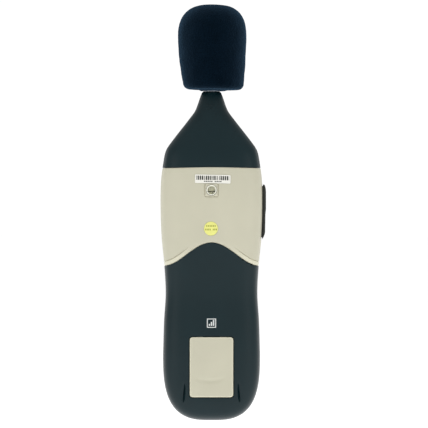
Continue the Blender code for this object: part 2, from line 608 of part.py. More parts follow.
def display():
    outline = rounded(-LENS_HALF, LENS_HALF, *LENS_Z, 2.2)
    skin("lcd_window", FRONT, prism("lens_prism", outline, -BEYOND, -25.0), LENS_INSET, LENS, "glass")
    board = BOARD_FRONT_Y - GAP
    frame = box("lcd_frame", (-FRAME_HALF, FRAME_HALF), (FRAME_Y, board), FRAME_Z, "black_plastic")
    low, high = LCD_Z
    across = (-LCD_HALF - GAP, LCD_HALF + GAP)
    inside = box("lcd_frame_inside", across, (-40.0, -20.0), (low - GAP, high + GAP))
    combine(frame, "DIFFERENCE", inside)
    across = (-LCD_HALF, LCD_HALF)
    box("lcd_glass", across, LCD_Y, LCD_Z, "lcd")
    box("lcd_strip_lower", across, (LCD_BACK_Y, board), (low, low + LCD_STRIP), "dark_rubber")
    box("lcd_strip_upper", across, (LCD_BACK_Y, board), (high - LCD_STRIP, high), "dark_rubber")
    box("lcd_backlight", across, (LCD_BACK_Y, BACKLIGHT_Y), (low + LCD_STRIP + GAP, high - LCD_STRIP - GAP),
        "white_plastic")


def key_places():
    places = []
    for (left, right), z in zip(SIDE_KEYS, KEY_ROWS_Z):
        places.append((f"key_{left}", KEY_COLUMN_X, z, *OVAL))
        places.append((f"key_{right}", -KEY_COLUMN_X, z, *OVAL))
    for (name, size), z in zip(CENTRE_KEYS, KEY_ROWS_Z):
        places.append((f"key_{name}", 0.0, z, *size))
    return places


def keypad():
    membrane = box("keypad_membrane", (-MEMBRANE_HALF, MEMBRANE_HALF), (MEMBRANE_Y, BOARD_FRONT_Y - GAP),
                   MEMBRANE_Z, "dark_rubber")
    domes = []
    for name, x, z, half_x, half_z in key_places():
        top = surface_y(FRONT, x, z) - KEY_PROUD
        key = prism(name, ellipse(x, z, half_x, half_z), top, KEY_BACK_Y, "dark_rubber")
        flange = ellipse(x, z, half_x + KEY_FLANGE, half_z + KEY_FLANGE)
        combine(key, "UNION", prism(f"{name}_flange", flange, KEY_FLANGE_Y, KEY_BACK_Y - 0.1))
        pivot(key, (x, KEY_BACK_Y, z))
        domes.append(rod(f"{name}_dome", DOME_RADIUS, *DOME_Y, (x, 0, z), steps=12))
    combine(membrane, "UNION", *domes)


# ---------------------------------------------------------------- microphone
def microphone():
    centre = (0, PART_Y, 0)
    tube = [
        (SPIGOT_RADIUS, TUBE_BOTTOM), (SPIGOT_RADIUS, TUBE_SHOULDER), (MIC_RADIUS, TUBE_SHOULDER),
        (MIC_RADIUS, TUBE_TOP), (TUBE_INNER_RADIUS, TUBE_TOP), (TUBE_INNER_RADIUS, TUBE_SHOULDER + 1.5),
        (SPIGOT_INNER_RADIUS, TUBE_SHOULDER + 1.5), (SPIGOT_INNER_RADIUS, TUBE_BOTTOM),
    ]
    turned("mic_tube", tube, centre, "steel", closed=True, steps=24)
    seat = TUBE_TOP + GAP
    capsule = [
        (0.0, CAPSULE_BOTTOM), (CAPSULE_PLUG_RADIUS, CAPSULE_BOTTOM), (CAPSULE_PLUG_RADIUS, seat),
        (MIC_RADIUS, seat), (MIC_RADIUS, CAPSULE_TOP), (0.0, CAPSULE_TOP),
    ]
    turned("mic_capsule", capsule, centre, "steel", steps=24)
    rim = CAPSULE_TOP + GAP
    roof = MIC_TIP - GRID_WALL
    grid = [
        (0.0, MIC_TIP), (MIC_RADIUS - GRID_ROUNDING, MIC_TIP), (MIC_RADIUS, MIC_TIP - GRID_ROUNDING),
        (MIC_RADIUS, rim), (GRID_INNER_RADIUS, rim), (GRID_INNER_RADIUS, roof), (0.0, roof),
    ]
    turned("mic_grid", grid, centre, "steel", steps=24)
    box("preamp_board", (-PREAMP_HALF_X, PREAMP_HALF_X), (PART_Y - PREAMP_HALF_Y, PART_Y + PREAMP_HALF_Y),
        PREAMP_Z, "board")
    route = ((0, PART_Y, 74.0), (0, PART_Y, 56.0), (1.5, -20.5, 46.0), (1.5, BOARD_BACK_Y + 1.4, 38.0))
    lead("mic_lead", route, MIC_LEAD_RADIUS, "black_wire", points=20)


def windscreen():
    cap = []
    for k in range(9):
        share = math.sin(math.radians(10 * k))
        height = FOAM_WIDEST_Z + (FOAM_TOP - FOAM_WIDEST_Z) * share
        cap.append((height, FOAM_RADIUS * superellipse(share, FOAM_POWER)))
    profile = [(0.0, FOAM_TOP)] + [(radius, z) for z, radius in reversed(cap)]
    for k in range(4):
        angle = math.radians(30 * k)
        profile.append((FOAM_LOW_RADIUS - FOAM_CORNER * (1 - math.cos(angle)),
                        FOAM_BOTTOM + FOAM_CORNER * (1 - math.sin(angle))))
    bore = MIC_RADIUS + GAP
    profile += [(bore, FOAM_BOTTOM), (bore, MIC_TIP + 1.0), (0.0, MIC_TIP + 1.0)]
    screen = turned("windscreen", profile, (0, PART_Y, 0), "foam", steps=28)
    pivot(screen, (0, PART_Y, FOAM_BOTTOM))


# ---------------------------------------------------------------- side sockets
def ports():
    y_low, y_high = PART_Y - PORT_HALF + GAP, PART_Y + PORT_HALF - GAP
    outline = rounded(y_low, y_high, PORT_Z[0] + GAP, PORT_Z[1] - GAP, 1.2)
    plate = prism("port_plate", outline, *PORT_PLATE_X, "black_plastic", axis="X")
    usb_hole = rectangle(PART_Y - USB_HALF_Y - GAP, PART_Y + USB_HALF_Y + GAP,
                         USB_Z - USB_HALF_Z - GAP, USB_Z + USB_HALF_Z + GAP)
    combine(
        plate, "DIFFERENCE",
        rod("dc_hole", DC_HOLE, -40, -30, (0, PART_Y, DC_Z), axis="X"),
        prism("usb_hole", usb_hole, -40, -30, axis="X"),
        rod("output_hole", OUTPUT_HOLE, -40, -30, (0, PART_Y, OUTPUT_Z), axis="X"),
        rod("trimmer_hole", TRIMMER_HOLE, -40, -30, (0, PART_Y, TRIMMER_Z), axis="X"),
    )
    dc_jack = jack("dc_jack", DC_Z, DC_BARREL, DC_BORE, DC_HALF)
    pin = rod("dc_pin", DC_PIN, JACK_FACE_X + 0.8, SOCKET_BACK_X - 1, (0, PART_Y, DC_Z), axis="X", steps=12)
    combine(dc_jack, "UNION", pin)
    jack("output_jack", OUTPUT_Z, OUTPUT_BARREL, OUTPUT_BORE, OUTPUT_HALF)
    usb = side_box("usb_socket", (JACK_FACE_X, SOCKET_BACK_X), USB_HALF_Y, USB_Z, USB_HALF_Z, "steel")
    mouth = side_box("usb_mouth", (-40, -28), USB_HALF_Y - USB_SHELL, USB_Z, USB_HALF_Z - USB_SHELL)
    combine(usb, "DIFFERENCE", mouth)
    combine(usb, "UNION", side_box("usb_tongue", (JACK_FACE_X + 1, -27), 0.4, USB_Z, 2.6))
    board_x = (SOCKET_BACK_X + GAP, SOCKET_BACK_X + GAP + PORT_BOARD)
    box("port_board", board_x, (BOARD_BACK_Y + GAP, PORT_BOARD_Y), PORT_BOARD_Z, "board")
    header_x = (board_x[1] + GAP, board_x[1] + GAP + HEADER)
    box("board_header", header_x, (BOARD_BACK_Y + GAP, HEADER_Y), HEADER_Z, "black_plastic")


def side_box(name, x, half_y, z, half_z, finish=None):
    """A box on the parting plane, centred on this height."""
    return box(name, x, (PART_Y - half_y, PART_Y + half_y), (z - half_z, z + half_z), finish)


def jack(name, z, barrel, bore, half):
    """A round socket: a square body behind the plate with a barrel through it."""
    x = (PORT_PLATE_X[1] + GAP, SOCKET_BACK_X)
    body = side_box(name, x, half, z, half, "black_plastic")
    combine(body, "UNION", rod(f"{name}_barrel", barrel, JACK_FACE_X, -30, (0, PART_Y, z), axis="X"))
    return combine(body, "DIFFERENCE", rod(f"{name}_bore", bore, -40, -27, (0, PART_Y, z), axis="X"))


def trimmer():
    centre = (0, PART_Y, TRIMMER_Z)
    body = side_box("cal_trimmer", TRIMMER_X, TRIMMER_HALF_Y, TRIMMER_Z, TRIMMER_HALF_Z, "white_plastic")
    combine(body, "DIFFERENCE", rod("trimmer_well", WELL_RADIUS, -40, WELL_X, centre, axis="X"))
    screw_head = rod("cal_screw", CAL_SCREW_RADIUS, *CAL_SCREW_X, centre, "brass", axis="X")
    slot = side_box("cal_screw_slot", (-40, CAL_SCREW_X[0] + 0.7), 0.25, TRIMMER_Z, 2)
    combine(screw_head, "DIFFERENCE", slot)
    pivot(screw_head, (CAL_SCREW_X[0], PART_Y, TRIMMER_Z))


def port_cover():
    lid = rounded(PART_Y - COVER_HALF, PART_Y + COVER_HALF, *COVER_Z, 2.0)
    rib = rounded(PART_Y - PORT_HALF + 0.5, PART_Y + PORT_HALF - 0.5, PORT_Z[0] + 0.6, PORT_Z[1] - 0.6, 1.2)
    cover = prism("port_cover", lid, *COVER_X, "rubber", axis="X")
    combine(cover, "UNION", prism("port_cover_rib", rib, COVER_X[1] - 1, -35.2, axis="X"))
    pivot(cover, COVER_AXIS)


def tripod_bush():
    profile = [
        (0.0, -BUSH_LENGTH), (BUSH_FLANGE_RADIUS, -BUSH_LENGTH), (BUSH_FLANGE_RADIUS, BUSH_FLANGE_Y),
        (BUSH_RADIUS, BUSH_FLANGE_Y), (BUSH_RADIUS, 0.0), (SOCKET_RADIUS, 0.0),
        (SOCKET_RADIUS, -SOCKET_DEPTH), (0.0, -SOCKET_DEPTH),
    ]
    turned("tripod_bush", profile, (0, 0, 0), "brass", axis="Y", steps=24)


def main():
    clear_scene()
    rear_shell()
    front_shell()
    rear_panel()
    front_panel()
    labels()
    battery_door()
    battery()
    tripod_bush()
    main_board()
    screws()
    display()
    keypad()
    microphone()
    windscreen()
    ports()
    trimmer()
    port_cover()


main()
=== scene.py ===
import math

import bmesh
import bpy
from mathutils import Matrix, Vector, noise


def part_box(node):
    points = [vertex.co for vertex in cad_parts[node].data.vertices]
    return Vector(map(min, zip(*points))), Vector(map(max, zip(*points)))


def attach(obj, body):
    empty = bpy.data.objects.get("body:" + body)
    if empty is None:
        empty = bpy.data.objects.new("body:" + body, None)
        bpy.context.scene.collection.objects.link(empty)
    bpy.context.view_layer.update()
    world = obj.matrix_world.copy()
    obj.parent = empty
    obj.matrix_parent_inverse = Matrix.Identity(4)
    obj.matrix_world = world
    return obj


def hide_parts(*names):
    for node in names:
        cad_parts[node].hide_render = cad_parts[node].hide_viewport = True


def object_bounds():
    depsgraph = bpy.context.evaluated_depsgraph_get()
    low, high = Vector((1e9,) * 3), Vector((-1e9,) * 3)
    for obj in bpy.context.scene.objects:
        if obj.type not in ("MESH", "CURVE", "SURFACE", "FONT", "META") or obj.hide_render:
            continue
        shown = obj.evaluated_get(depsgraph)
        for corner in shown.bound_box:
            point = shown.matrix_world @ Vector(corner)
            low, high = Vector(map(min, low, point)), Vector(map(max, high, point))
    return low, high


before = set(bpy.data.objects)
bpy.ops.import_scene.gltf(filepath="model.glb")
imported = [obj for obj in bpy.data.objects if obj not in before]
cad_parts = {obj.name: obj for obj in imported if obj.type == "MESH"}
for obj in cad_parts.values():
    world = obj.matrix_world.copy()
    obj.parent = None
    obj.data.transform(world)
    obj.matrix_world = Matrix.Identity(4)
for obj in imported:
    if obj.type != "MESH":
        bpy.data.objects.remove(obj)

# The looks of a handheld sound level meter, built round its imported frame. Lengths are in
# millimetres, and MM turns them into metres. +Z runs up to the microphone, +Y points out of
# the back, and the display faces -Y.
MM = 0.001
GAP = 0.3
SEAM_GAP, SEAM_BEVEL = 0.005, 0.3
REAR, FRONT = 1, -1
CAD_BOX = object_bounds()


def box_of(node):
    """Lowest and highest corner of a node of the frame, in millimetres."""
    low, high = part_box(node)
    return [c / MM for c in low], [c / MM for c in high]


def middle_of(node):
    """Middle of a node's box as (x, z), with its half sizes, in millimetres."""
    low, high = box_of(node)
    return (low[0] + high[0]) / 2, (low[2] + high[2]) / 2, (high[0] - low[0]) / 2, (high[2] - low[2]) / 2


# Body form, as (z, half size) stations from the neck down
PART_Y = sum(corner[1] for corner in box_of("mic_tube")) / 2
BODY_TOP = 71.6
HALF_WIDTH = (
    (71.6, 5.8), (70.6, 7.0), (57.9, 11.7), (53.0, 15.1), (35.0, 29.05), (29.0, 32.95), (22.0, 34.65),
    (6.0, 36.65), (-15.0, 36.92), (-35.0, 36.1), (-55.0, 34.2), (-75.0, 33.25), (-95.0, 34.45),
    (-119.0, 35.15),
)
DEPTH = {
    REAR: ((71.6, 5.4), (70.6, 6.8), (57.0, 10.5), (34.0, 15.6), (20.0, 17.9), (0.0, 18.4),
           (-30.0, 18.1), (-75.0, 16.8), (-110.0, 17.8), (-125.0, 18.0)),
    FRONT: ((71.6, 5.4), (70.6, 6.8), (57.0, 10.5), (34.0, 17.0), (22.0, 20.4), (0.0, 21.0),
            (-25.0, 20.5), (-55.0, 18.6), (-80.0, 17.8), (-125.0, 18.4)),
}
NECK_POWER = 2.0
BODY_POWER = {REAR: 3.0, FRONT: 3.6}
NECK_Z, SHOULDER_Z = 58.0, 30.0
CAP_START, CAP_LENGTH, CAP_POWER = -119.0, 47.6, 2.94
END_START, END_LENGTH, END_POWER = -150.0, 16.6, 2.5
CAP_LAST_ANGLE = math.radians(87)
WALL, PANEL_WALL = 2.2, 3.9
PANEL_WALL_LOW, PANEL_WALL_HIGH = -58.0, 30.0

# Grey panels
PANEL = 1.6
PANEL_SIDE_TOP = 16.0
PANEL_ARCH = {REAR: 0.5, FRONT: 12.0}
WAVE_LOW, WAVE_HEIGHT, WAVE_HALF = -54.7, 17.0, 36.0
LIP = 3.0  # width of the smooth lip below the panel's groove
TOP_BAND = 2.6
# (distance from the edge, depth below the surface) of the rows next to each edge
LOWER_EDGE = ((0.0, 0.6), (0.12, 0.3), (0.4, 0.12), (1.0, 0.06), (2.3, 0.0), (LIP - 0.3, 0.0),
              (LIP - 0.1, 0.6), (LIP + 0.1, 0.6), (LIP + 0.3, 0.0), (LIP + 0.7, 0.0))
UPPER_EDGE = ((0.0, 0.5), (0.12, 0.26), (0.4, 0.16), (1.2, 0.08), (TOP_BAND, 0.0), (TOP_BAND + 0.5, 0.0))


# ---------------------------------------------------------------- body form
def along(stations, z):
    """A smooth curve through (z, value) stations listed from the top down."""
    last = len(stations) - 1
    first = next((k for k in range(last) if z >= stations[k + 1][0]), last - 1)

    def slope(k):
        high, low = stations[max(k - 1, 0)], stations[min(k + 1, last)]
        return (low[1] - high[1]) / (low[0] - high[0])

    (start, start_value), (end, end_value) = stations[first], stations[first + 1]
    step = end - start
    t = (z - start) / step
    return (
        (2 * t**3 - 3 * t**2 + 1) * start_value + (t**3 - 2 * t**2 + t) * step * slope(first)
        + (3 * t**2 - 2 * t**3) * end_value + (t**3 - t**2) * step * slope(first + 1)
    )


def superellipse(share, power):
    return max(1 - share**power, 0.0) ** (1 / power)


def size_at(side, z, inset):
    width = along(HALF_WIDTH, max(z, CAP_START)) - inset
    depth = along(DEPTH[side], max(z, CAP_START)) - inset
    if z < CAP_START:
        width *= superellipse((CAP_START - z) / (CAP_LENGTH - inset), CAP_POWER)
    if z < END_START:
        depth *= superellipse((END_START - z) / (END_LENGTH - inset), END_POWER)
    return width, depth


def power_at(side, z):
    share = min(max((NECK_Z - z) / (NECK_Z - SHOULDER_Z), 0.0), 1.0)
    return NECK_POWER + (BODY_POWER[side] - NECK_POWER) * share


def surface_y(side, x, z, inset=0.0):
    width, depth = size_at(side, z, inset)
    return PART_Y + side * depth * superellipse(min(abs(x) / width, 1.0), power_at(side, z))


def body_point(side, angle, z, inset, base):
    """A point of one half's section. Its flat side stands at base, out from the parting plane."""
    width, depth = size_at(side, z, inset)
    power = power_at(side, z)
    reach = (abs(math.cos(angle)) ** power + abs(math.sin(angle)) ** power) ** (-1 / power)
    out = max(depth * reach * math.sin(angle), base)
    return width * reach * math.cos(angle), PART_Y + side * out, z


def wave(x):
    """Height of the panels' lower edge."""
    return WAVE_LOW + WAVE_HEIGHT * (0.5 + 0.5 * math.cos(math.pi * min(abs(x) / WAVE_HALF, 1.0)))


def panel_top(side, x):
    arch = 0.5 + 0.5 * math.cos(math.pi * min(abs(x) / WAVE_HALF, 1.0))
    return PANEL_SIDE_TOP + PANEL_ARCH[side] * arch


def wave_slant(x):
    """Length along the wave's edge for each millimetre across it."""
    step = 0.5
    return math.hypot(1.0, (wave(x + step) - wave(x - step)) / (2 * step))


def bump_at(distance, width):
    """A smooth hump, from 1 in the middle to 0 at this width on each side."""
    share = min(abs(distance) / width, 1.0)
    return (1 - share**2) ** 2


# ---------------------------------------------------------------- mesh helpers
def new_object(name, bm):
    """An object of this mesh, turned into metres, with its faces outwards."""
    bmesh.ops.recalc_face_normals(bm, faces=bm.faces)
    bmesh.ops.scale(bm, vec=(MM, MM, MM), verts=bm.verts)
    mesh = bpy.data.meshes.new(name)
    bm.to_mesh(mesh)
    bm.free()
    obj = bpy.data.objects.new(name, mesh)
    bpy.context.scene.collection.objects.link(obj)
    return obj


def skin_rings(bm, rings, capped=True, looped=False):
    """Closed rings of the same number of points, skinned in turn."""
    made = [[bm.verts.new(point) for point in ring] for ring in rings]
    pairs = list(zip(made, made[1:])) + ([(made[-1], made[0])] if looped else [])
    for low, high in pairs:
        for k, start in enumerate(low):
            after = (k + 1) % len(low)
            bm.faces.new((start, low[after], high[after], high[k]))
    if capped and not looped:
        bm.faces.new(made[0])
        bm.faces.new(made[-1])


def loft(name, rings, looped=False):
    bm = bmesh.new()
    skin_rings(bm, rings, looped=looped)
    return new_object(name, bm)


def prism(name, outline, low, high, axis="Y"):
    """An outline extruded along an axis: (x, z) points for Y, (y, z) points for X."""
    def lift(u, v, level):
        return (u, level, v) if axis == "Y" else (level, u, v)
    return loft(name, [[lift(u, v, end) for u, v in outline] for end in (low, high)])


def block(name, x, y, z, bevel=0.0):
    corner = max(bevel, 0.01)
    return prism(name, rounded_outline(x[0], x[1], z[0], z[1], corner)(0.0), y[0], y[1])


def rounded_outline(low_u, high_u, low_v, high_v, radius, spacing=None, steps=4):
    """A function that gives a round-cornered rectangle at any inset, always with as many points."""
    def cuts(length):
        return max(round((length - 2 * radius) / spacing), 1) if spacing else 1

    edges = [cuts(high_v - low_v), cuts(high_u - low_u)] * 2

    def outline(inset):
        corner = max(radius - inset, 0.02)
        half_u, half_v = (high_u - low_u) / 2 - inset, (high_v - low_v) / 2 - inset
        centre = ((low_u + high_u) / 2, (low_v + high_v) / 2)
        points = []
        for quarter, (u_sign, v_sign) in enumerate(((1, 1), (-1, 1), (-1, -1), (1, -1))):
            middle = (centre[0] + u_sign * (half_u - corner), centre[1] + v_sign * (half_v - corner))
            turn = [corner_point(middle, corner, (quarter + k / steps) * math.pi / 2)
                    for k in range(steps + 1)]
            if points:
                points += stretch(points[-1], turn[0], edges[quarter])
            points += turn
        return points + stretch(points[-1], points[0], edges[0])

    return outline


def corner_point(middle, radius, angle):
    return middle[0] + radius * math.cos(angle), middle[1] + radius * math.sin(angle)


def stretch(start, end, cuts):
    """The points between two others that cut their line into equal pieces."""
    return [tuple(a + (b - a) * k / cuts for a, b in zip(start, end)) for k in range(1, cuts)]


def ellipse_outline(u, v, radius_u, radius_v, steps=48):
    def outline(inset):
        return [(u + (radius_u - inset) * math.cos(2 * math.pi * k / steps),
                 v + (radius_v - inset) * math.sin(2 * math.pi * k / steps)) for k in range(steps)]
    return outline


def ringed(name, outline, path, place):
    """A solid made of the outline's rings: path gives (inset, level) from the middle of the back
    round the edge to the middle of the face, and place turns (u, v, level) into a point."""
    return loft(name, [[place(u, v, level) for u, v in outline(inset)] for inset, level in path])


def lathe(name, profile, centre, axis="Z", steps=96, looped=False):
    """A profile of (radius, height) points spun about an axis. Its ends close with a flat face."""
    turn = {"X": Matrix.Rotation(math.pi / 2, 3, "Y"), "Y": Matrix.Rotation(-math.pi / 2, 3, "X")}
    matrix = turn.get(axis, Matrix.Identity(3))
    angles = [2 * math.pi * k / steps for k in range(steps)]
    rings = [[Vector(centre) + matrix @ Vector((radius * math.cos(a), radius * math.sin(a), height))
              for a in angles] for radius, height in profile]
    return loft(name, rings, looped)


def rod(name, radius, low, high, centre, axis="Y", steps=40):
    return lathe(name, [(radius, low), (radius, high)], centre, axis, steps)


def combine(obj, operation, cutters):
    """Joins or cuts the object with all of the others at once, which are used up."""
    group = bpy.data.collections.new(operation)
    for cutter in cutters:
        group.objects.link(cutter)
    modifier = obj.modifiers.new(operation, "BOOLEAN")
    modifier.operation = operation
    modifier.solver = "EXACT"
    modifier.operand_type = "COLLECTION"
    modifier.collection = group
    bpy.context.view_layer.update()
    made = bpy.data.meshes.new_from_object(obj.evaluated_get(bpy.context.evaluated_depsgraph_get()))
    obj.modifiers.clear()
    obj.data = made
    for cutter in cutters:
        bpy.data.objects.remove(cutter)
    bpy.data.collections.remove(group)
    return obj


def finish_piece(obj, body, material, replaces=(), sharp=35):
    """Shades the object smooth, paints it, and puts it on its body in place of its nodes."""
    obj.data.shade_smooth()
    obj.data.set_sharp_from_angle(angle=math.radians(sharp))
    for each in material if isinstance(material, tuple) else (material,):
        obj.data.materials.append(each)
    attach(obj, body)
    if replaces:
        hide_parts(*replaces)
    return obj


# ---------------------------------------------------------------- materials
def linear(channel):
    value = channel / 255
    return value / 12.92 if value <= 0.04045 else ((value + 0.055) / 1.055) ** 2.4


def shade(colour, factor=1.0):
    return (*(min(linear(channel) * factor, 1.0) for channel in colour), 1.0)


def node(tree, kind, inputs=None, **settings):
    """A new shader node. An input is a value or another node's output."""
    made = tree.nodes.new(kind)
    for key, value in settings.items():
        setattr(made, key, value)
    for key, value in (inputs or {}).items():
        if isinstance(value, bpy.types.NodeSocket):
            tree.links.new(value, made.inputs[key])
        else:
            made.inputs[key].default_value = value
    return made


def start_material(name, roughness, **sockets):
    made = bpy.data.materials.new(name)
    made.use_nodes = True
    tree = made.node_tree
    shader = tree.nodes["Principled BSDF"]
    shader.inputs["Roughness"].default_value = roughness
    for key, value in sockets.items():
        shader.inputs[key.replace("_", " ")].default_value = value
    return made, tree, shader


def place_of(tree):
    return node(tree, "ShaderNodeTexCoord").outputs["Object"]


def noise_of(tree, size, where=None, detail=3.0):
    """A noise whose features are about this many millimetres across."""
    inputs = {"Vector": where or place_of(tree), "Scale": 1 / (size * MM), "Detail": detail}
    return node(tree, "ShaderNodeTexNoise", inputs).outputs[0]


def cells_of(tree, size, where):
    """Distance from the middle of cells about this many millimetres across."""
    inputs = {"Vector": where, "Scale": 1 / (size * MM)}
    return node(tree, "ShaderNodeTexVoronoi", inputs).outputs["Distance"]


def between(tree, value, low, high, from_low=0.3, from_high=0.7):
    return node(tree, "ShaderNodeMapRange", {
        "Value": value, "From Min": from_low, "From Max": from_high, "To Min": low, "To Max": high,
    }).outputs["Result"]


def blend_colours(tree, factor, first, second):
    made = node(tree, "ShaderNodeMix", {"Factor": factor}, data_type="RGBA")
    for index, colour in ((6, first), (7, second)):
        if isinstance(colour, bpy.types.NodeSocket):
            tree.links.new(colour, made.inputs[index])
        else:
            made.inputs[index].default_value = colour
    return made.outputs[2]


def add_bump(tree, shader, height, depth):
    """Relief of this many millimetres."""
    made = node(tree, "ShaderNodeBump", {"Height": height, "Distance": depth * MM, "Strength": 1.0})
    tree.links.new(made.outputs["Normal"], shader.inputs["Normal"])


def surface(tree, shader, colour, gloss, relief, depth):
    """Links a surface's colour, roughness and relief, which is this many millimetres deep."""
    tree.links.new(colour, shader.inputs["Base Color"])
    tree.links.new(gloss, shader.inputs["Roughness"])
    add_bump(tree, shader, relief, depth)


def drifting(tree, noise_value, colour, darkest, lightest):
    """The colour, changing slowly between two factors of itself."""
    share = between(tree, noise_value, 0.0, 1.0)
    return blend_colours(tree, share, shade(colour, darkest), shade(colour, lightest))


def moulded(name, colour, roughness, grain=0.35, depth=0.012, mottle=0.05, **sockets):
    """Moulded plastic or rubber: a fine grain, and colour and gloss that drift a little."""
    made, tree, shader = start_material(name, roughness, **sockets)
    where = place_of(tree)
    drift = noise_of(tree, 22.0, where, 4.0)
    speck = noise_of(tree, grain, where, 2.0)
    field = drifting(tree, drift, colour, 1 - mottle, 1 + mottle)
    dark = blend_colours(tree, between(tree, speck, 0.0, 0.35), field, shade(colour, 0.8))
    gloss = between(tree, speck, roughness - 0.06, roughness + 0.06)
    surface(tree, shader, dark, gloss, speck, depth)
    return made


def panel_plastic(name, colour):
    """Grey panel plastic: a fine spark-eroded field, and a smooth lip along its edges whose colour is painted
    lighter as a painted highlight.
    """
    made, tree, shader = start_material(name, 0.4)
    where = place_of(tree)
    drift = noise_of(tree, 30.0, where, 3.0)
    speck = noise_of(tree, 0.3, where, 2.0)
    lip_highlight = node(tree, "ShaderNodeAttribute", attribute_name="lip_highlight").outputs["Fac"]
    field = drifting(tree, drift, colour, 0.97, 1.03)
    field = blend_colours(tree, between(tree, speck, 0.0, 0.25), field, shade(colour, 0.9))
    gloss = between(tree, speck, 0.36, 0.44)
    smooth = node(tree, "ShaderNodeMix", {"Factor": lip_highlight, "A": gloss, "B": 0.3}).outputs[0]
    # Where the lip_highlight mark is set, the colour is painted 1.2 times lighter: a painted highlight along
    # the lip, the top band and the door's rim.
    surface(tree, shader, blend_colours(tree, lip_highlight, field, shade(colour, 1.2)), smooth, speck, 0.01)
    return made


def foam_material(name, colour, pore=0.9):
    """Open-cell foam: lighter struts, with the pores between them painted darker as painted shade."""
    made, tree, shader = start_material(name, 1.0, Sheen_Weight=0.24, Sheen_Roughness=0.52,
                                        Specular_IOR_Level=0.0)
    shader.inputs["Sheen Tint"].default_value = shade((130, 175, 215))
    where = place_of(tree)
    cells = cells_of(tree, pore, where)
    struts = drifting(tree, noise_of(tree, 9.0, where, 3.0), colour, 0.85, 1.3)
    # Painted shade: the colour darkens to 0.45 of itself towards the middle of each cell, where a pore's
    # depths lie in shade.
    pore_shade = between(tree, cells, 0.0, 1.0, 0.1, 0.6)
    tree.links.new(blend_colours(tree, pore_shade, shade(colour, 0.45), struts), shader.inputs["Base Color"])
    add_bump(tree, shader, cells, 0.25)
    return made


def metal(name, colour, roughness=0.28, stretch_by=(1.0, 1.0, 30.0), size=0.4, metallic=1.0):
    """Turned or drawn metal: fine lines across it in the gloss and the relief."""
    made, tree, shader = start_material(name, roughness, Metallic=metallic)
    mapping = node(tree, "ShaderNodeMapping", {"Vector": place_of(tree), "Scale": stretch_by})
    lines = noise_of(tree, size, mapping.outputs["Vector"], 2.0)
    tone = drifting(tree, noise_of(tree, 6.0), colour, 0.95, 1.03)
    surface(tree, shader, tone, between(tree, lines, roughness - 0.1, roughness + 0.12), lines, 0.004)
    return made


def circuit_board(name):
    """Green solder mask over copper tracks, with gold pads."""
    made, tree, shader = start_material(name, 0.35, Coat_Weight=0.3)
    where = place_of(tree)
    tracks = node(tree, "ShaderNodeTexBrick", {
        "Vector": where, "Scale": 1 / (7.0 * MM), "Mortar": shade((62, 136, 84)), "Mortar Size": 0.04,
        "Color1": shade((30, 96, 58)), "Color2": shade((24, 84, 50)),
    }).outputs["Color"]
    pads = cells_of(tree, 3.2, where)
    spot = between(tree, pads, 1.0, 0.0, 0.12, 0.16)
    tree.links.new(blend_colours(tree, spot, tracks, shade((206, 176, 104))), shader.inputs["Base Color"])
    tree.links.new(spot, shader.inputs["Metallic"])
    add_bump(tree, shader, pads, 0.03)
    return made


MATERIALS = {}


def make_materials():
    MATERIALS.update({
        "slate": moulded("slate_plastic", (11, 36, 41), 0.36, grain=0.4, depth=0.01, mottle=0.06,
                         Specular_IOR_Level=0.28),
        "grey": panel_plastic("grey_plastic", (207, 204, 182)),
        "rubber": moulded("cover_rubber", (48, 50, 46), 0.72, grain=0.5, depth=0.02, mottle=0.08,
                          Specular_IOR_Level=0.3),
        "key": moulded("key_rubber", (44, 50, 54), 0.68, grain=0.3, depth=0.01, mottle=0.06),
        "black": moulded("black_plastic", (28, 29, 31), 0.45),
        "white": moulded("white_plastic", (228, 228, 222), 0.4, mottle=0.03),
        "foam": foam_material("foam_navy", (4, 14, 24)),
        "pad": foam_material("foam_grey", (70, 74, 78), pore=0.6),
        "steel": metal("steel", (190, 192, 196)),
        "tube": metal("nickel_tube", (178, 184, 190), 0.22),
        "brass": metal("brass", (204, 176, 112), 0.3),
        # The bush's colour is painted near white, lighter than satin nickel is, as painted light that makes
        # up for the shade on the floor of its bore.
        "nickel_painted_light": metal("satin_nickel_painted_light", (255, 254, 238), 0.5, metallic=0.1),
        "board": circuit_board("circuit_board"),
        "ink": moulded("white_ink", (226, 230, 228), 0.6, mottle=0.04),
        "red": moulded("red_wire", (176, 30, 26), 0.4),
        "wire": moulded("black_wire", (24, 24, 25), 0.4),
    })


# ---------------------------------------------------------------- housing
BODY_STEPS, CUT_STEPS = 88, 40
ROW, CUT_ROW = 2.0, 5.0
CAP_ROWS, CUT_CAP_ROWS = 30, 12
PANEL_ROWS, PANEL_STEPS, RECESS_STEPS = 30, 144, 72
LIP_START, LIP_FADE = 13.0, 12.0  # the lip begins this far from the middle and is full after the fade
DOOR_HALF, DOOR_TOP, DOOR_BOTTOM, DOOR_CORNER = 15.7, -105.9, -149.2, 2.0
DOOR, DOOR_LEDGE_Y = 2.2, -4.5
TUB_HALF, TUB_WALL, TUB_TOP, TUB_BOTTOM = 13.9, 2.5, -97.0, -150.6
TUB_FLOOR_Y, TUB_ROOF_Y = -23.9, -4.0


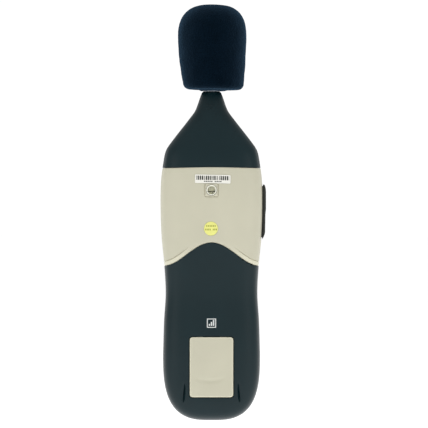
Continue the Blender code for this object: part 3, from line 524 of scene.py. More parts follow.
def half_body(name, side, inset=0.0, base=GAP / 2, top=BODY_TOP, wall=None, fine=False):
    """One half of the body as a solid, inset from the outer surface. wall(z) makes the inset vary."""
    wall = wall or (lambda z: inset)
    steps, row, cap_rows = (BODY_STEPS, ROW, CAP_ROWS) if fine else (CUT_STEPS, CUT_ROW, CUT_CAP_ROWS)
    count = math.ceil((top - 1.0 - CAP_START) / row)
    heights = [top] + [top - 1.0 - (top - 1.0 - CAP_START) * k / count for k in range(count + 1)]
    end = CAP_LENGTH - wall(CAP_START)
    heights += [CAP_START - end * math.sin(CAP_LAST_ANGLE * k / cap_rows) for k in range(1, cap_rows + 1)]
    rings = []
    for z in heights:
        ring = [body_point(side, math.pi * k / steps, z, wall(z), max(base, 0.0)) for k in range(steps + 1)]
        foot, inward = (base, 0.0) if base < 0 else (SEAM_GAP, SEAM_BEVEL)
        width = ring[0][0] - inward
        ring = [(width, PART_Y + side * foot, z), *ring, (-width, PART_Y + side * foot, z)]
        rings.append(ring)
    return loft(name, rings)


def panel_wall(z):
    high = min(max((PANEL_WALL_HIGH - z) / 4, 0.0), 1.0)
    low = min(max((z - PANEL_WALL_LOW) / 4, 0.0), 1.0)
    return WALL + (PANEL_WALL - WALL) * min(high, low)


def lip_share(x):
    """How much of the lip and its groove is there: they run out towards the middle of the panel."""
    share = min(max((abs(x) - LIP_START) / LIP_FADE, 0.0), 1.0)
    return share * share * (3 - 2 * share)


def panel_rows(side, angle, grow, lower, upper):
    """(z, depth) of the points up one column of a panel, from its wavy edge to its top edge."""
    def at_edge(edge, start):
        z = start
        for _ in range(3):
            z = edge(body_point(side, angle, z, 0.0, 0.0)[0])
        return z

    low = at_edge(wave, WAVE_LOW) - grow
    high = at_edge(lambda x: panel_top(side, x), PANEL_SIDE_TOP) + grow
    x = body_point(side, angle, low, 0.0, 0.0)[0]
    slant = wave_slant(x)
    rows = [(low + distance * slant, sink if distance < 2.0 else sink * lip_share(x))
            for distance, sink in lower]
    top = [(high - distance, sink) for distance, sink in reversed(upper)]
    start, end = rows[-1][0], top[0][0]
    rows += [(start + (end - start) * k / PANEL_ROWS, 0.0) for k in range(1, PANEL_ROWS)]
    return rows + top


def panel_solid(name, side, out, thick, grow=0.0, base=GAP / 2, lower=((0.0, 0.0),), upper=((0.0, 0.0),)):
    """A curved plate between the panel's edges, from `out` above the body's surface to `thick` below it."""
    steps = PANEL_STEPS if len(lower) > 1 else RECESS_STEPS
    columns = []
    for k in range(steps + 1):
        angle = math.pi * k / steps
        rows = panel_rows(side, angle, grow, lower, upper)
        face = [body_point(side, angle, z, sink - out, max(base, 0.0)) for z, sink in rows]
        back = [body_point(side, angle, z, thick, max(base, 0.0)) for z, _ in rows]
        columns.append(face + back[::-1])
    if base < 0:
        def drop(column):
            return [(x, PART_Y + side * base, z) for x, _, z in column]
        columns = [drop(columns[0]), *columns, drop(columns[-1])]
    return loft(name, columns)


def port_cut(name, grow=0.0):
    low, high = box_of("port_plate")
    outline = rounded_outline(low[1] - GAP - grow, high[1] + GAP + grow, low[2] - GAP - grow,
                              high[2] + GAP + grow, 1.5 + grow)(0.0)
    return prism(name, outline, -60.0, high[0] + 5.0, axis="X")


def shell_half(name, side):
    shell = half_body(name, side, fine=True)
    cavity = half_body(f"{name}_cavity", side, base=-1.0, top=BODY_TOP - 3.0, wall=panel_wall)
    recess = panel_solid(f"{name}_recess", side, 3.0, PANEL + GAP, GAP, base=-1.0)
    bore = rod(f"{name}_bore", 5.1, 55.0, 80.0, (0, PART_Y, 0), axis="Z")
    return combine(shell, "DIFFERENCE", [cavity, recess, bore, port_cut(f"{name}_port")])


def door_outline(grow=0.0, spacing=1.0):
    return rounded_outline(-DOOR_HALF - grow, DOOR_HALF + grow, DOOR_BOTTOM - grow, DOOR_TOP + grow,
                           DOOR_CORNER + grow, spacing)


def door_opening():
    """The cutter for the door's opening, which flares where it meets the surface."""
    outline = door_outline(GAP, 2.0)
    rings = [[(x, DOOR_LEDGE_Y, z) for x, z in outline(0.0)]]
    for flare, depth in ((0.0, 1.0), (0.12, 0.45), (0.5, -0.05), (1.6, -1.2)):
        rings.append([(x, surface_y(REAR, x, z, depth), z) for x, z in outline(-flare)])
    return loft("door_opening", rings)


GROOVE_X, GROOVE_TOP, GROOVE_LENGTH, GROOVE_ROWS = 19.3, -138.5, 14.5, 24
GROOVE_DEPTH, GROOVE_HALF = 1.35, 0.9
DISH_DEPTH, DISH_MIDDLE, DISH_HALF = 0.5, 1.0, 2.4
GROOVE_OFFSETS = (-0.9, -0.7, -0.5, -0.3, 0.0, 0.3, 0.5, 0.7, 1.0, 1.5, 2.0, 2.5, 3.0, 3.4)


def finger_groove(across):
    """The cutter for the groove beside the battery door's lower end, with a shallow dish outside it."""
    rings = []
    for k in range(GROOVE_ROWS + 1):
        share = k / GROOVE_ROWS
        middle, z = GROOVE_X + 0.9 * share**1.5, GROOVE_TOP - GROOVE_LENGTH * share
        swell = max(math.sin(math.pi * share**1.3), 0.0) ** 0.6
        under, over = [], []
        for offset in GROOVE_OFFSETS:
            dish = DISH_DEPTH * bump_at(offset - DISH_MIDDLE, DISH_HALF)
            deep = swell * (GROOVE_DEPTH * bump_at(offset, GROOVE_HALF) + dish) - 0.04
            x = across * (middle + offset * (0.3 + 0.7 * swell))
            y = surface_y(REAR, x, z)
            under.append((x, y - deep, z))
            over.append((x, y + 0.8, z))
        rings.append(under + over[::-1])
    return loft("finger_groove", rings)


def neck_ribs():
    """Two short ribs at the back of the neck."""
    ribs = []
    path = [(0.0, 1.0), (0.0, 0.08), (0.15, 0.0)]
    for z in (61.3, 58.9):
        outline = rounded_outline(-1.1, 4.0, z - 0.35, z + 0.35, 0.3, 0.8)
        ribs.append(ringed("neck_rib", outline, path, following(REAR, 0.22)))
    return ribs


def screw_places(prefix):
    """(x, z, top of the head) of each of the four screws."""
    nodes = [f"{prefix}_{k}" for k in range(1, 5)]
    return [(*middle_of(name)[:2], box_of(name)[1][1]) for name in nodes]


def rear_shell():
    shell = shell_half("housing_rear", REAR)
    added = [block("tub", (-TUB_HALF - TUB_WALL, TUB_HALF + TUB_WALL), (TUB_FLOOR_Y - 1.3, -2.9),
                   (TUB_BOTTOM - 1.6, TUB_TOP + 1.6)),
             rod("bush_boss", 7.6, -11.0, -3.2, (0, 0, 0))]
    cut = [block("tub_hollow", (-TUB_HALF, TUB_HALF), (TUB_FLOOR_Y, TUB_ROOF_Y), (TUB_BOTTOM, TUB_TOP), 1.0),
           door_opening(),
           block("tub_mouth", (-TUB_HALF, TUB_HALF), (TUB_ROOF_Y - 2.0, 0.0),
                 (TUB_BOTTOM + 2.0, DOOR_TOP - 1.5), 1.0),
           block("wire_slot", (-5.0, 5.0), (-18.5, -11.5), (TUB_TOP - 1.0, TUB_TOP + 3.0)),
           rod("bush_bore", 5.5, -9.3, 5.0, (0, 0, 0)), finger_groove(-1), finger_groove(1)]
    for k, (x, z, head_top) in enumerate(screw_places("case_screw")):
        added.append(rod(f"boss_{k}", 4.2, -17.5, head_top - 0.6, (x, 0, z)))
        bore = [(1.7, -25.0), (1.7, head_top - 1.8), (3.0, head_top - 1.8), (3.0, 5.0)]
        cut.append(lathe(f"screw_bore_{k}", bore, (x, 0, z), axis="Y", steps=32))
    combine(shell, "UNION", added + neck_ribs())
    combine(shell, "DIFFERENCE", cut)
    finish_piece(shell, "housing", MATERIALS["slate"], ["rear_shell"])


def front_shell():
    shell = shell_half("housing_front", FRONT)
    posts, holes = [], []
    for k, (x, z, _) in enumerate(screw_places("case_screw")):
        floor = surface_y(FRONT, abs(x) + 3.6, z, PANEL + GAP) + 1.2
        posts.append(rod(f"post_{k}", 3.6, floor, -17.8, (x, 0, z)))
        holes.append(rod(f"pilot_{k}", 1.7, -28.0, 0.0, (x, 0, z), steps=24))
    board_front = box_of("main_board")[0][1]
    for k, (x, z, _) in enumerate(screw_places("board_screw")):
        floor = surface_y(FRONT, abs(x) + 2.8, z - 2.0) + 1.1
        posts.append(rod(f"board_post_{k}", 2.8, floor, board_front - GAP, (x, 0, z)))
        holes.append(rod(f"board_pilot_{k}", 1.3, board_front - 4.6, 0.0, (x, 0, z), steps=24))
    combine(shell, "UNION", posts)
    holes.append(block("window_cut", (-19.6, 19.6), (-80.0, -30.0), (-19.1, 16.1), 1.5))
    for key, (x, z, half_x, half_z) in key_places().items():
        holes.append(key_hole(f"{key}_hole", x, z, half_x + GAP, half_z + GAP))
    combine(shell, "DIFFERENCE", holes)
    finish_piece(shell, "housing", MATERIALS["slate"], ["front_shell"])


def key_hole(name, x, z, half_x, half_z):
    """A hole for a key, opened out where it meets the surface so that its rim is round."""
    outline = ellipse_outline(x, z, half_x, half_z)
    rim = surface_y(FRONT, x, z)
    levels = ((0.0, -30.9), (0.0, rim + 0.5), (-0.15, rim + 0.15), (-0.5, rim - 0.1), (-1.5, rim - 1.5))
    return ringed(name, outline, levels, lambda u, v, y: (u, y, v))


def mark_lip_highlight(panel):
    """Writes on each point of a panel how much painted highlight it gets: much on the smooth lip along the
    wavy edge, a little on the band along the top edge.
    """
    side = FRONT if panel.name == "panel_front" else REAR
    values = []
    for vertex in panel.data.vertices:
        x, _, z = (c / MM for c in vertex.co)
        above = (z - wave(x)) / wave_slant(x)
        below = panel_top(side, x) - z
        on_lip = 0.9 * lip_share(x) if above < LIP - 0.2 else 0.0
        on_band = 0.1 if below < TOP_BAND - 0.3 else 0.0
        # Painted highlight: full on the lip, a faint one on the top band.
        values.append(max(on_lip, on_band))
    attribute = panel.data.attributes.new("lip_highlight", "FLOAT", "POINT")
    attribute.data.foreach_set("value", values)


def following(side, lift=0.0, sink=None):
    """Puts (x, z, depth) on the body: depth below its surface, less lift, and lower where sink says."""
    def place(x, z, depth):
        extra = sink(x, z) if sink and depth < 1.0 else 0.0
        return x, surface_y(side, x, z, depth - lift) - side * extra, z
    return place


def plate_path(reach, thickness, bevel=0.3, step=1.0):
    """The rings of a plate: middle of the back, edge, round bevel, middle of the face."""
    inward = [bevel + step * k for k in range(1, max(int((reach - bevel) / step), 1) + 1)]
    back = [(inset, thickness) for inset in reversed(inward)]
    edge = [(0.0, thickness), (0.0, bevel), (0.3 * bevel, 0.3 * bevel), (bevel, 0.0)]
    return back + edge + [(inset, 0.0) for inset in inward]


PAD_HALF_X, PAD_HALF_Z, PAD_CORNER = 4.5, 4.5, 0.8
MOAT, MOAT_CORNER = 0.7, 1.4


def tripod_pad():
    outline = rounded_outline(-PAD_HALF_X, PAD_HALF_X, -PAD_HALF_Z, PAD_HALF_Z, PAD_CORNER)
    path = [(0.0, -1.6), (0.0, -0.3), (0.1, -0.08), (0.3, 0.0)]
    return ringed("pad", outline, path, lambda x, z, y: (x, y, z))


def pocket(name, outline, depth):
    """A cutter that sinks an outline this far into the back."""
    rings = [[(x, surface_y(REAR, x, z, depth), z) for x, z in outline], [(x, 5.0, z) for x, z in outline]]
    return loft(name, rings)


def rear_panel():
    panel = panel_solid("panel_rear", REAR, 0.0, PANEL, lower=LOWER_EDGE, upper=UPPER_EDGE)
    half_x, half_z = PAD_HALF_X + MOAT, PAD_HALF_Z + MOAT
    moat = rounded_outline(-half_x, half_x, -half_z, half_z, MOAT_CORNER, 0.8)(0.0)
    combine(panel, "DIFFERENCE", [pocket("moat", moat, 0.5)])
    combine(panel, "UNION", [tripod_pad()])
    cut = [rod("pad_bore", 4.0, -8.0, 5.0, (0, 0, 0), steps=64), port_cut("rear_port")]
    cut.append(pocket("label_pocket", label_outline(-GAP)(0.0), 0.3))
    cut.append(pocket("sticker_pocket", sticker_outline(-GAP)(0.0), 0.3))
    combine(panel, "DIFFERENCE", cut)
    mark_lip_highlight(panel)
    finish_piece(panel, "housing", MATERIALS["grey"], ["rear_panel"])


def front_panel():
    panel = panel_solid("panel_front", FRONT, 0.0, PANEL, lower=LOWER_EDGE, upper=UPPER_EDGE)
    low, high = box_of("lcd_window")
    outline = rounded_outline(low[0] - GAP, high[0] + GAP, low[2] - GAP, high[2] + GAP, 2.5, 1.5)
    rim = surface_y(FRONT, high[0], 0.0)
    levels = ((0.0, -25.0), (0.0, rim + 0.3), (-0.9, rim - 0.9), (-2.0, rim - 2.0))
    opening = ringed("lens_opening", outline, levels, lambda u, v, y: (u, y, v))
    combine(panel, "DIFFERENCE", [opening, port_cut("front_port")])
    mark_lip_highlight(panel)
    finish_piece(panel, "housing", MATERIALS["grey"], ["front_panel"])


# ---------------------------------------------------------------- labels and marks
LABEL_TILT = 0.018  # the label is stuck on a little askew: rise for each millimetre across


def label_outline(inset=0.0):
    low, high = box_of("serial_label")
    straight = rounded_outline(low[0] + inset, high[0] - inset, low[2] + inset, high[2] - inset, 0.6, 1.0)
    middle = middle_of("serial_label")[0]
    return lambda more: [(x, z + LABEL_TILT * (x - middle)) for x, z in straight(more)]


def sticker_outline(inset=0.0):
    x, z, radius, _ = middle_of("round_sticker")
    return ellipse_outline(x, z, radius - inset, radius - inset)


def math_node(tree, operation, first, second=0.0):
    return node(tree, "ShaderNodeMath", {0: first, 1: second}, operation=operation).outputs[0]


def inside(tree, x, z, box):
    """1 inside a box of (middle x, middle z, half width, half height) in millimetres, else 0."""
    near = []
    for value, middle, half in ((x, box[0], box[2]), (z, box[1], box[3])):
        away = math_node(tree, "ABSOLUTE", math_node(tree, "SUBTRACT", value, middle * MM))
        near.append(math_node(tree, "LESS_THAN", away, half * MM))
    return math_node(tree, "MULTIPLY", *near)


def printed(name, paper, ink, boxes, stripes=None, tilt=0.0):
    """Printed paper. Where stripes is given, its box is filled with upright bars of uneven width."""
    made, tree, shader = start_material(name, 0.5)
    where = place_of(tree)
    parts = node(tree, "ShaderNodeSeparateXYZ", {0: where}).outputs
    height = math_node(tree, "SUBTRACT", parts["Z"], math_node(tree, "MULTIPLY", parts["X"], tilt))
    marks = [inside(tree, parts["X"], height, box) for box in boxes]
    if stripes:
        cell = math_node(tree, "FLOOR", math_node(tree, "MULTIPLY", parts["X"], 1 / (0.24 * MM)))
        random = node(tree, "ShaderNodeTexWhiteNoise", {"W": cell}, noise_dimensions="1D").outputs["Value"]
        bars = math_node(tree, "GREATER_THAN", random, 0.07)
        group = math_node(tree, "FRACT", math_node(tree, "MULTIPLY", parts["X"], 1 / (1.5 * MM)))
        bars = math_node(tree, "MULTIPLY", bars, math_node(tree, "LESS_THAN", group, 0.68))
        marks.append(math_node(tree, "MULTIPLY", bars, inside(tree, parts["X"], height, stripes)))
    total = marks[0]
    for mark in marks[1:]:
        total = math_node(tree, "MAXIMUM", total, mark)
    fibre = noise_of(tree, 0.5, where)
    sheet = drifting(tree, fibre, paper, 0.95, 1.02)
    inked = blend_colours(tree, total, sheet, shade(ink))
    surface(tree, shader, inked, between(tree, fibre, 0.42, 0.58), fibre, 0.004)
    return made


def labels():
    x, z, _, _ = middle_of("serial_label")
    dashes = [(x + 5.9 - 1.3 * k, z - 1.75, 0.45, 0.4) for k in range(10) if k != 5]
    bars = (x, z + 0.75, 11.8, 1.5)
    paper = printed("label_paper", (246, 245, 236), (30, 32, 28), dashes, bars, LABEL_TILT)
    on_body = following(REAR, 0.1)
    label = ringed("label_serial", label_outline(), plate_path(3.0, 0.3, 0.05, 0.7), on_body)
    finish_piece(label, "housing", paper, ["serial_label"])
    x, z, _, _ = middle_of("round_sticker")
    marks = [(x + 3.0 - 1.2 * k, z + 1.9, 0.38, 0.6) for k in range(6)]
    marks += [(x + 3.8 - 1.1 * k, z - 0.7, 0.36, 0.6) for k in range(8) if k != 4]
    yellow = printed("sticker_paper", (243, 243, 140), (160, 162, 60), marks)
    sticker = ringed("sticker_round", sticker_outline(), plate_path(4.6, 0.3, 0.05, 0.7), on_body)
    finish_piece(sticker, "housing", yellow, ["round_sticker"])


def level_mark():
    """A printed pictogram above the battery door: a square outline round three level bars."""
    middle_z, half = -95.8, 3.3
    bars = [(0.0, half - 0.3, half, 0.3), (0.0, -half + 0.3, half, 0.3), (half - 0.3, 0.0, 0.3, half - 0.6),
            (-half + 0.3, 0.0, 0.3, half - 0.6)]
    bars += [(1.5 - 1.5 * k, -1.9 + 0.7 * (k + 1), 0.5, 0.7 * (k + 1)) for k in range(3)]
    bm = bmesh.new()
    place = following(REAR, 0.04)
    for x, dz, half_x, half_z in bars:
        z = middle_z + dz
        outline = rounded_outline(x - half_x, x + half_x, z - half_z, z + half_z, 0.1, 0.6)
        rings = [[place(u, v, level) for u, v in outline(inset)] for inset, level in ((0.0, 0.1), (0.0, 0.0))]
        skin_rings(bm, rings)
    finish_piece(new_object("mark_level", bm), "housing", MATERIALS["ink"])


# ---------------------------------------------------------------- battery door
def thumb_grip(x, z):
    """Depth of the curved thumb grip across the lower part of the door."""
    middle = -137.5 + 3.2 * ((x - 1.0) / 12.0) ** 2
    return 0.55 * bump_at(z - middle, 2.0) * bump_at(x - 1.0, 13.5)


def battery_door():
    path = plate_path(15.2, DOOR, 0.5, 0.8)
    door = ringed("door_battery", door_outline(), path, following(REAR, sink=thumb_grip))
    added = []
    for x in (-8.5, 8.5):
        added.append(block("hook", (x - 2.5, x + 2.5), (-5.4, -4.3), (DOOR_TOP - 2.4, DOOR_TOP + 1.3), 0.3))
        added.append(block("stem", (x - 2.4, x + 2.4), (-4.9, -2.4), (DOOR_TOP - 2.3, DOOR_TOP - 0.8), 0.3))
    added.append(block("latch", (-5.0, 5.0), (-5.6, -2.4), (DOOR_BOTTOM + 0.6, DOOR_BOTTOM + 1.8), 0.3))
    combine(door, "UNION", added)
    # Points within 1.1 mm of the door's outline get the lip_highlight mark, so the door's colour is painted
    # lighter there: a painted highlight along its bevelled rim.
    values = []
    for vertex in door.data.vertices:
        x, _, z = (c / MM for c in vertex.co)
        edge = min(DOOR_HALF - abs(x), z - DOOR_BOTTOM, DOOR_TOP - z)
        values.append(0.9 if edge < 1.1 else 0.0)
    door.data.attributes.new("lip_highlight", "FLOAT", "POINT").data.foreach_set("value", values)
    finish_piece(door, "battery_door", MATERIALS["grey"], ["battery_door"])


def door_pad():
    """The foam pad that holds the battery, pressed in a little where it meets it."""
    low, high = box_of("door_pad")
    outline = rounded_outline(low[0], high[0], low[2], high[2], 1.5, 0.8)

    def place(x, z, y):
        press = 0.25 * bump_at(x, 9.5) * bump_at(z - (low[2] + high[2]) / 2, 12.0) if y < -5 else 0.0
        rough = 0.08 * noise.noise(Vector((x, y, z)) * 1.1)
        return x + rough, y + press + rough, z + rough

    path = [(inset, high[1]) for inset in (8.0, 6.0, 4.0, 2.0, 0.5)]
    path += [(0.05, high[1] - 0.1), (0.0, -4.8), (0.1, low[1] + 0.2)]
    path += [(inset, low[1] + 0.05) for inset in (0.5, 2.0, 4.0, 6.0, 8.0)]
    pad = ringed("pad_foam", outline, path, place)
    finish_piece(pad, "battery_door", MATERIALS["pad"], ["door_pad"], sharp=80)


# ---------------------------------------------------------------- windscreen
FOAM_BOTTOM, FOAM_TOP, FOAM_WIDEST_Z = 72.6, 134.6, 110.0
FOAM_RADIUS, FOAM_LOW_RADIUS, FOAM_CORNER, FOAM_POWER = 24.8, 21.4, 4.6, 2.74
FOAM_ROWS, FOAM_STEPS = 66, 190
FOAM_LUMPS = ((0.22, 0.16), (0.1, 0.9), (0.05, 2.1))  # height, and how often for each millimetre
FOAM_HELD = 6.8  # the foam keeps its shape within this radius, where it grips the tube


def foam_radius(z):
    """Radius of the foam's outside at this height."""
    if z >= FOAM_WIDEST_Z:
        return FOAM_RADIUS * superellipse((z - FOAM_WIDEST_Z) / (FOAM_TOP - FOAM_WIDEST_Z), FOAM_POWER)
    share = (FOAM_WIDEST_Z - z) / (FOAM_WIDEST_Z - FOAM_BOTTOM)
    return FOAM_RADIUS - (FOAM_RADIUS - FOAM_LOW_RADIUS) * share**1.6


def foam_profile():
    """(radius, z) from the middle of the top, down the outside and up the bore."""
    rise = FOAM_TOP - FOAM_WIDEST_Z
    heights = [FOAM_WIDEST_Z + rise * math.sin(math.radians(89 - 2 * k)) for k in range(45)]
    profile = [(foam_radius(z), z) for z in heights]
    low = FOAM_BOTTOM + FOAM_CORNER
    heights = [FOAM_WIDEST_Z + (low - FOAM_WIDEST_Z) * k / FOAM_ROWS for k in range(1, FOAM_ROWS)]
    profile += [(foam_radius(z), z) for z in heights]
    edge = foam_radius(low) - FOAM_CORNER
    for k in range(13):
        angle = math.radians(90 * k / 12)
        profile.append((edge + FOAM_CORNER * math.cos(angle), low - FOAM_CORNER * math.sin(angle)))
    bore = box_of("mic_tube")[1][0] + GAP
    profile += [(bore + (edge - bore) * (1 - k / 14), FOAM_BOTTOM) for k in range(1, 14)]
    top = box_of("mic_grid")[1][2] + 1.0
    profile += [(bore, FOAM_BOTTOM + 0.2), (bore, top), (0.4, top)]
    return profile


def windscreen():
    screen = lathe("windscreen_foam", foam_profile(), (0, PART_Y, 0), steps=FOAM_STEPS)
    for vertex in screen.data.vertices:
        point = vertex.co / MM
        out = Vector((point.x, point.y - PART_Y, 0.0))
        share = (FOAM_TOP - point.z) / (FOAM_TOP - FOAM_BOTTOM)
        if share > 0.9:
            collar = min(max((11.5 - out.length) / 3.0, 0.0), 1.0)
            point.z += 0.35 - 1.05 * collar * collar * (3 - 2 * collar)
        lean = -0.5 - 0.35 * max(0.25 - share, 0.0) / 0.25 - 1.1 * max(share - 0.6, 0.0) / 0.4
        if out.length < FOAM_HELD:
            vertex.co = point * MM
            continue
        lump = sum(height * noise.noise(point * often) for height, often in FOAM_LUMPS)
        weight = min((out.length - FOAM_HELD) / 4.0, 1.0)
        point += out.normalized() * lump * weight
        point.x += lean * weight
        if share > 0.9:
            point.z += 0.012 * point.x * weight
        vertex.co = point * MM
    finish_piece(screen, "windscreen", MATERIALS["foam"], ["windscreen"], sharp=70)


# ---------------------------------------------------------------- microphone
GRID_SLOTS = 12


def microphone():
    low, high = box_of("mic_tube")
    centre = (0, PART_Y, 0)
    radius, spigot, inner = high[0], 4.8, 5.7
    profile = [(4.0, low[2]), (spigot, low[2]), (spigot, 72.0), (radius - 0.4, 72.0), (radius, 72.4),
               (radius, 76.0), (radius - 0.25, 76.2), (radius - 0.25, 76.8), (radius, 77.0),
               (radius, high[2] - 0.3), (radius - 0.3, high[2]), (inner, high[2]), (inner, 73.5), (4.0, 73.5)]
    tube = lathe("tube_microphone", profile, centre, looped=True)
    finish_piece(tube, "housing", MATERIALS["tube"], ["mic_tube"])
    low, high = box_of("mic_capsule")
    profile = [(5.3, low[2]), (5.4, low[2] + 0.1), (5.4, 97.3), (radius, 97.3), (radius, 99.0),
               (radius - 0.2, 99.2), (radius - 0.2, 99.6), (radius, 99.8), (radius, high[2] - 0.2),
               (radius - 0.2, high[2])]
    capsule = lathe("capsule_microphone", profile, centre)
    finish_piece(capsule, "housing", MATERIALS["steel"], ["mic_capsule"])
    low, high = box_of("mic_grid")
    tip = high[2]
    profile = [(5.3, low[2]), (radius, low[2]), (radius, tip - 1.4), (radius - 0.3, tip - 0.6),
               (radius - 0.9, tip - 0.1), (4.8, tip), (0.3, tip), (0.3, tip - 1.2), (4.8, tip - 1.2),
               (5.3, tip - 1.5)]
    grid = lathe("grid_microphone", profile, centre, looped=True)
    slots = []
    to_axis = Matrix.Translation((0, PART_Y * MM, 0))
    for k in range(GRID_SLOTS):
        slot = block("slot", (1.6, 8.0), (-0.32, 0.32), (tip - 4.4, tip + 1.0))
        slot.data.transform(to_axis @ Matrix.Rotation(2 * math.pi * k / GRID_SLOTS, 4, "Z"))
        slots.append(slot)
    combine(grid, "DIFFERENCE", slots)
    finish_piece(grid, "housing", MATERIALS["tube"], ["mic_grid"])


# ---------------------------------------------------------------- tripod socket
def tripod_bush():
    """The threaded bush: a 1/4 inch, 20 turns to the inch thread down its bore."""
    pitch, radius, depth, crest = 1.27, 3.05, 8.0, 0.35
    steps, rows = 72, 72
    low = box_of("tripod_bush")[0][1]

    def level_ring(y, reach):
        """A ring at this y, whose point k lies reach(k) from the axis."""
        points = [corner_point((0.0, 0.0), reach(k), 2 * math.pi * k / steps) for k in range(steps)]
        return [(x, y, z) for x, z in points]

    outer = [(5.2, low), (5.2, -3.4), (3.7, -3.4), (3.7, -0.15), (3.55, 0.0), (radius + 0.25, 0.0)]
    rings = [level_ring(y, lambda k, r=ring_radius: r) for ring_radius, y in outer]
    for row in range(rows + 1):
        y = -0.1 - (depth - 0.1) * row / rows

        def ridge(k, y=y, swell=min(row / 6, 1.0)):
            phase = (y / pitch + k / steps) % 1.0
            return radius + crest * (abs(2 * phase - 1) - 0.5) * swell

        rings.append(level_ring(y, ridge))
    bush = loft("bush_tripod", rings)
    combine(bush, "DIFFERENCE", [block("driver_slot", (-2.9, 2.9), (low - 0.5, -4.0), (-1.25, -0.7))])
    # Its finish is painted lighter than the metal: painted light against the shade in the bore.
    finish_piece(bush, "housing", MATERIALS["nickel_painted_light"], ["tripod_bush"])


# ---------------------------------------------------------------- side cover
def port_cover():
    low, high = box_of("port_cover")
    outline = rounded_outline(low[1], high[1], low[2], high[2], 2.0, 0.8, steps=6)
    middle_z, half_z = (low[2] + high[2]) / 2, (high[2] - low[2]) / 2
    lid_back = -37.3

    def place(y, z, level):
        share = abs(z - middle_z) / half_z
        tip = max(share - 0.67, 0.0) / 0.33 if z < middle_z else 0.0
        back = lid_back + 0.7 * tip**2
        if level == 0.0:
            return back, y, z
        across = abs(y - PART_Y) / 5.4
        end = max(share - 0.72, 0.0) / 0.28
        lower_half = min(max((middle_z + 2.0 - z) / 6.0, 0.0), 1.0)
        bow = end**2 + tip**2 + 0.25 * across**4 + 0.6 * lower_half
        return min(low[0] + bow * level + (1 - level) * (back - low[0]), back - 0.05), y, z

    path = [(inset, 0.0) for inset in (4.8, 3.5, 2.0, 1.0, 0.3)]
    path += [(0.0, 0.25), (0.0, 0.55), (0.15, 0.8), (0.45, 0.95)]
    path += [(inset, 1.0) for inset in (0.9, 1.8, 2.8, 3.8, 4.8)]
    lid = ringed("cover_ports", outline, path, place)
    low, high = box_of("port_plate")
    rib = rounded_outline(low[1] + 0.2, high[1] - 0.2, low[2] + 0.3, high[2] - 0.3, 1.2)
    levels = ((0.0, lid_back - 0.4), (0.0, -35.5), (0.3, -35.2))
    combine(lid, "UNION", [ringed("rib", rib, levels, lambda y, z, x: (x, y, z))])
    finish_piece(lid, "port_cover", MATERIALS["rubber"], ["port_cover"])


# ---------------------------------------------------------------- display
def lcd_window():
    low, high = box_of("lcd_window")
    outline = rounded_outline(low[0], high[0], low[2], high[2], 2.2, 1.2)
    glass, tree, shader = start_material("clear_window", 0.06, Transmission_Weight=1.0, IOR=1.49,
                                         Specular_IOR_Level=0.25)
    smear = noise_of(tree, 14.0)
    tint = blend_colours(tree, between(tree, smear, 0.0, 1.0), shade((238, 244, 240)), shade((246, 250, 248)))
    tree.links.new(tint, shader.inputs["Base Color"])
    tree.links.new(between(tree, smear, 0.03, 0.1), shader.inputs["Roughness"])
    lens = ringed("window_lcd", outline, plate_path(17.0, 1.2, 0.25, 1.5), following(FRONT, -0.4))
    finish_piece(lens, "housing", glass, ["lcd_window"])


# Lit segments of each digit: top, upper left, upper right, middle, lower left, lower right, bottom
SEGMENTS = {
    "6": (1, 1, 0, 1, 1, 1, 1), "2": (1, 0, 1, 1, 1, 0, 1), "4": (0, 1, 1, 1, 0, 1, 0),
}


def turned(shape, middle_u, middle_v, angle):
    """(u, v) points turned by this many degrees, round this middle."""
    cos, sin = math.cos(math.radians(angle)), math.sin(math.radians(angle))
    return [(middle_u + u * cos - v * sin, middle_v + u * sin + v * cos) for u, v in shape]


def bar(middle_u, middle_v, length, width, angle=0.0):
    """A bar with pointed ends, as (u, v) points round its middle."""
    half, point = length / 2, width / 2
    shape = ((-half, 0), (-half + point, -point), (half - point, -point), (half, 0), (half - point, point),
             (-half + point, point))
    return turned(shape, middle_u, middle_v, angle)


def digit(figure, u, v, width, height, thick):
    middle_v = (-height / 2, 0.0, height / 2)
    places = ((0, middle_v[2], 0), (-width / 2, height / 4, 90), (width / 2, height / 4, 90), (0, 0, 0),
              (-width / 2, -height / 4, 90), (width / 2, -height / 4, 90), (0, middle_v[0], 0))
    for lit, (du, dv, angle) in zip(SEGMENTS[figure], places):
        if lit:
            yield bar(u + du, v + dv, (width if angle == 0 else height / 2) - 0.25, thick, angle)


def lcd_figures():
    """A reading of 62.4 over a bar graph with its scale ticks."""
    bm = bmesh.new()
    glass_front = box_of("lcd_glass")[0][1]
    shapes = []
    for figure, u in (("6", -11.0), ("2", -2.0), ("4", 8.6)):
        shapes += digit(figure, u, 1.5, 5.6, 11.5, 1.5)
    shapes.append(bar(3.3, -4.1, 1.3, 1.3))
    for k in range(30):
        shapes.append(bar(-15.6 + 1.05 * k, -11.6, 3.0 if k < 18 else 0.8, 0.7, 90))
    for k in range(7):
        shapes.append(bar(-15.6 + 5.25 * k, -8.3, 1.4, 0.35, 90))
    shapes.append(bar(15.2, 11.6, 3.4, 1.6))
    shapes += [bar(-15.0 + 3.4 * k, 11.6, 2.2, 0.8) for k in range(3)]
    for shape in shapes:
        skin_rings(bm, [[(u, glass_front - lift, v - 0.5) for u, v in shape] for lift in (0.08, 0.01)])
    ink = moulded("lcd_ink", (20, 25, 24), 0.4, grain=0.2, mottle=0.1)
    finish_piece(new_object("figures_lcd", bm), "housing", ink)


# ---------------------------------------------------------------- keys
KEY_FLANGE, KEY_PROUD, KEY_DOME = 0.6, 1.0, 0.45


def key_places():
    """Middle and half sizes of each key's cap, from its node."""
    places = {}
    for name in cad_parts:
        if name.startswith("key_"):
            x, z, half_x, half_z = middle_of(name)
            places[name] = (x, z, half_x - KEY_FLANGE, half_z - KEY_FLANGE)
    return places


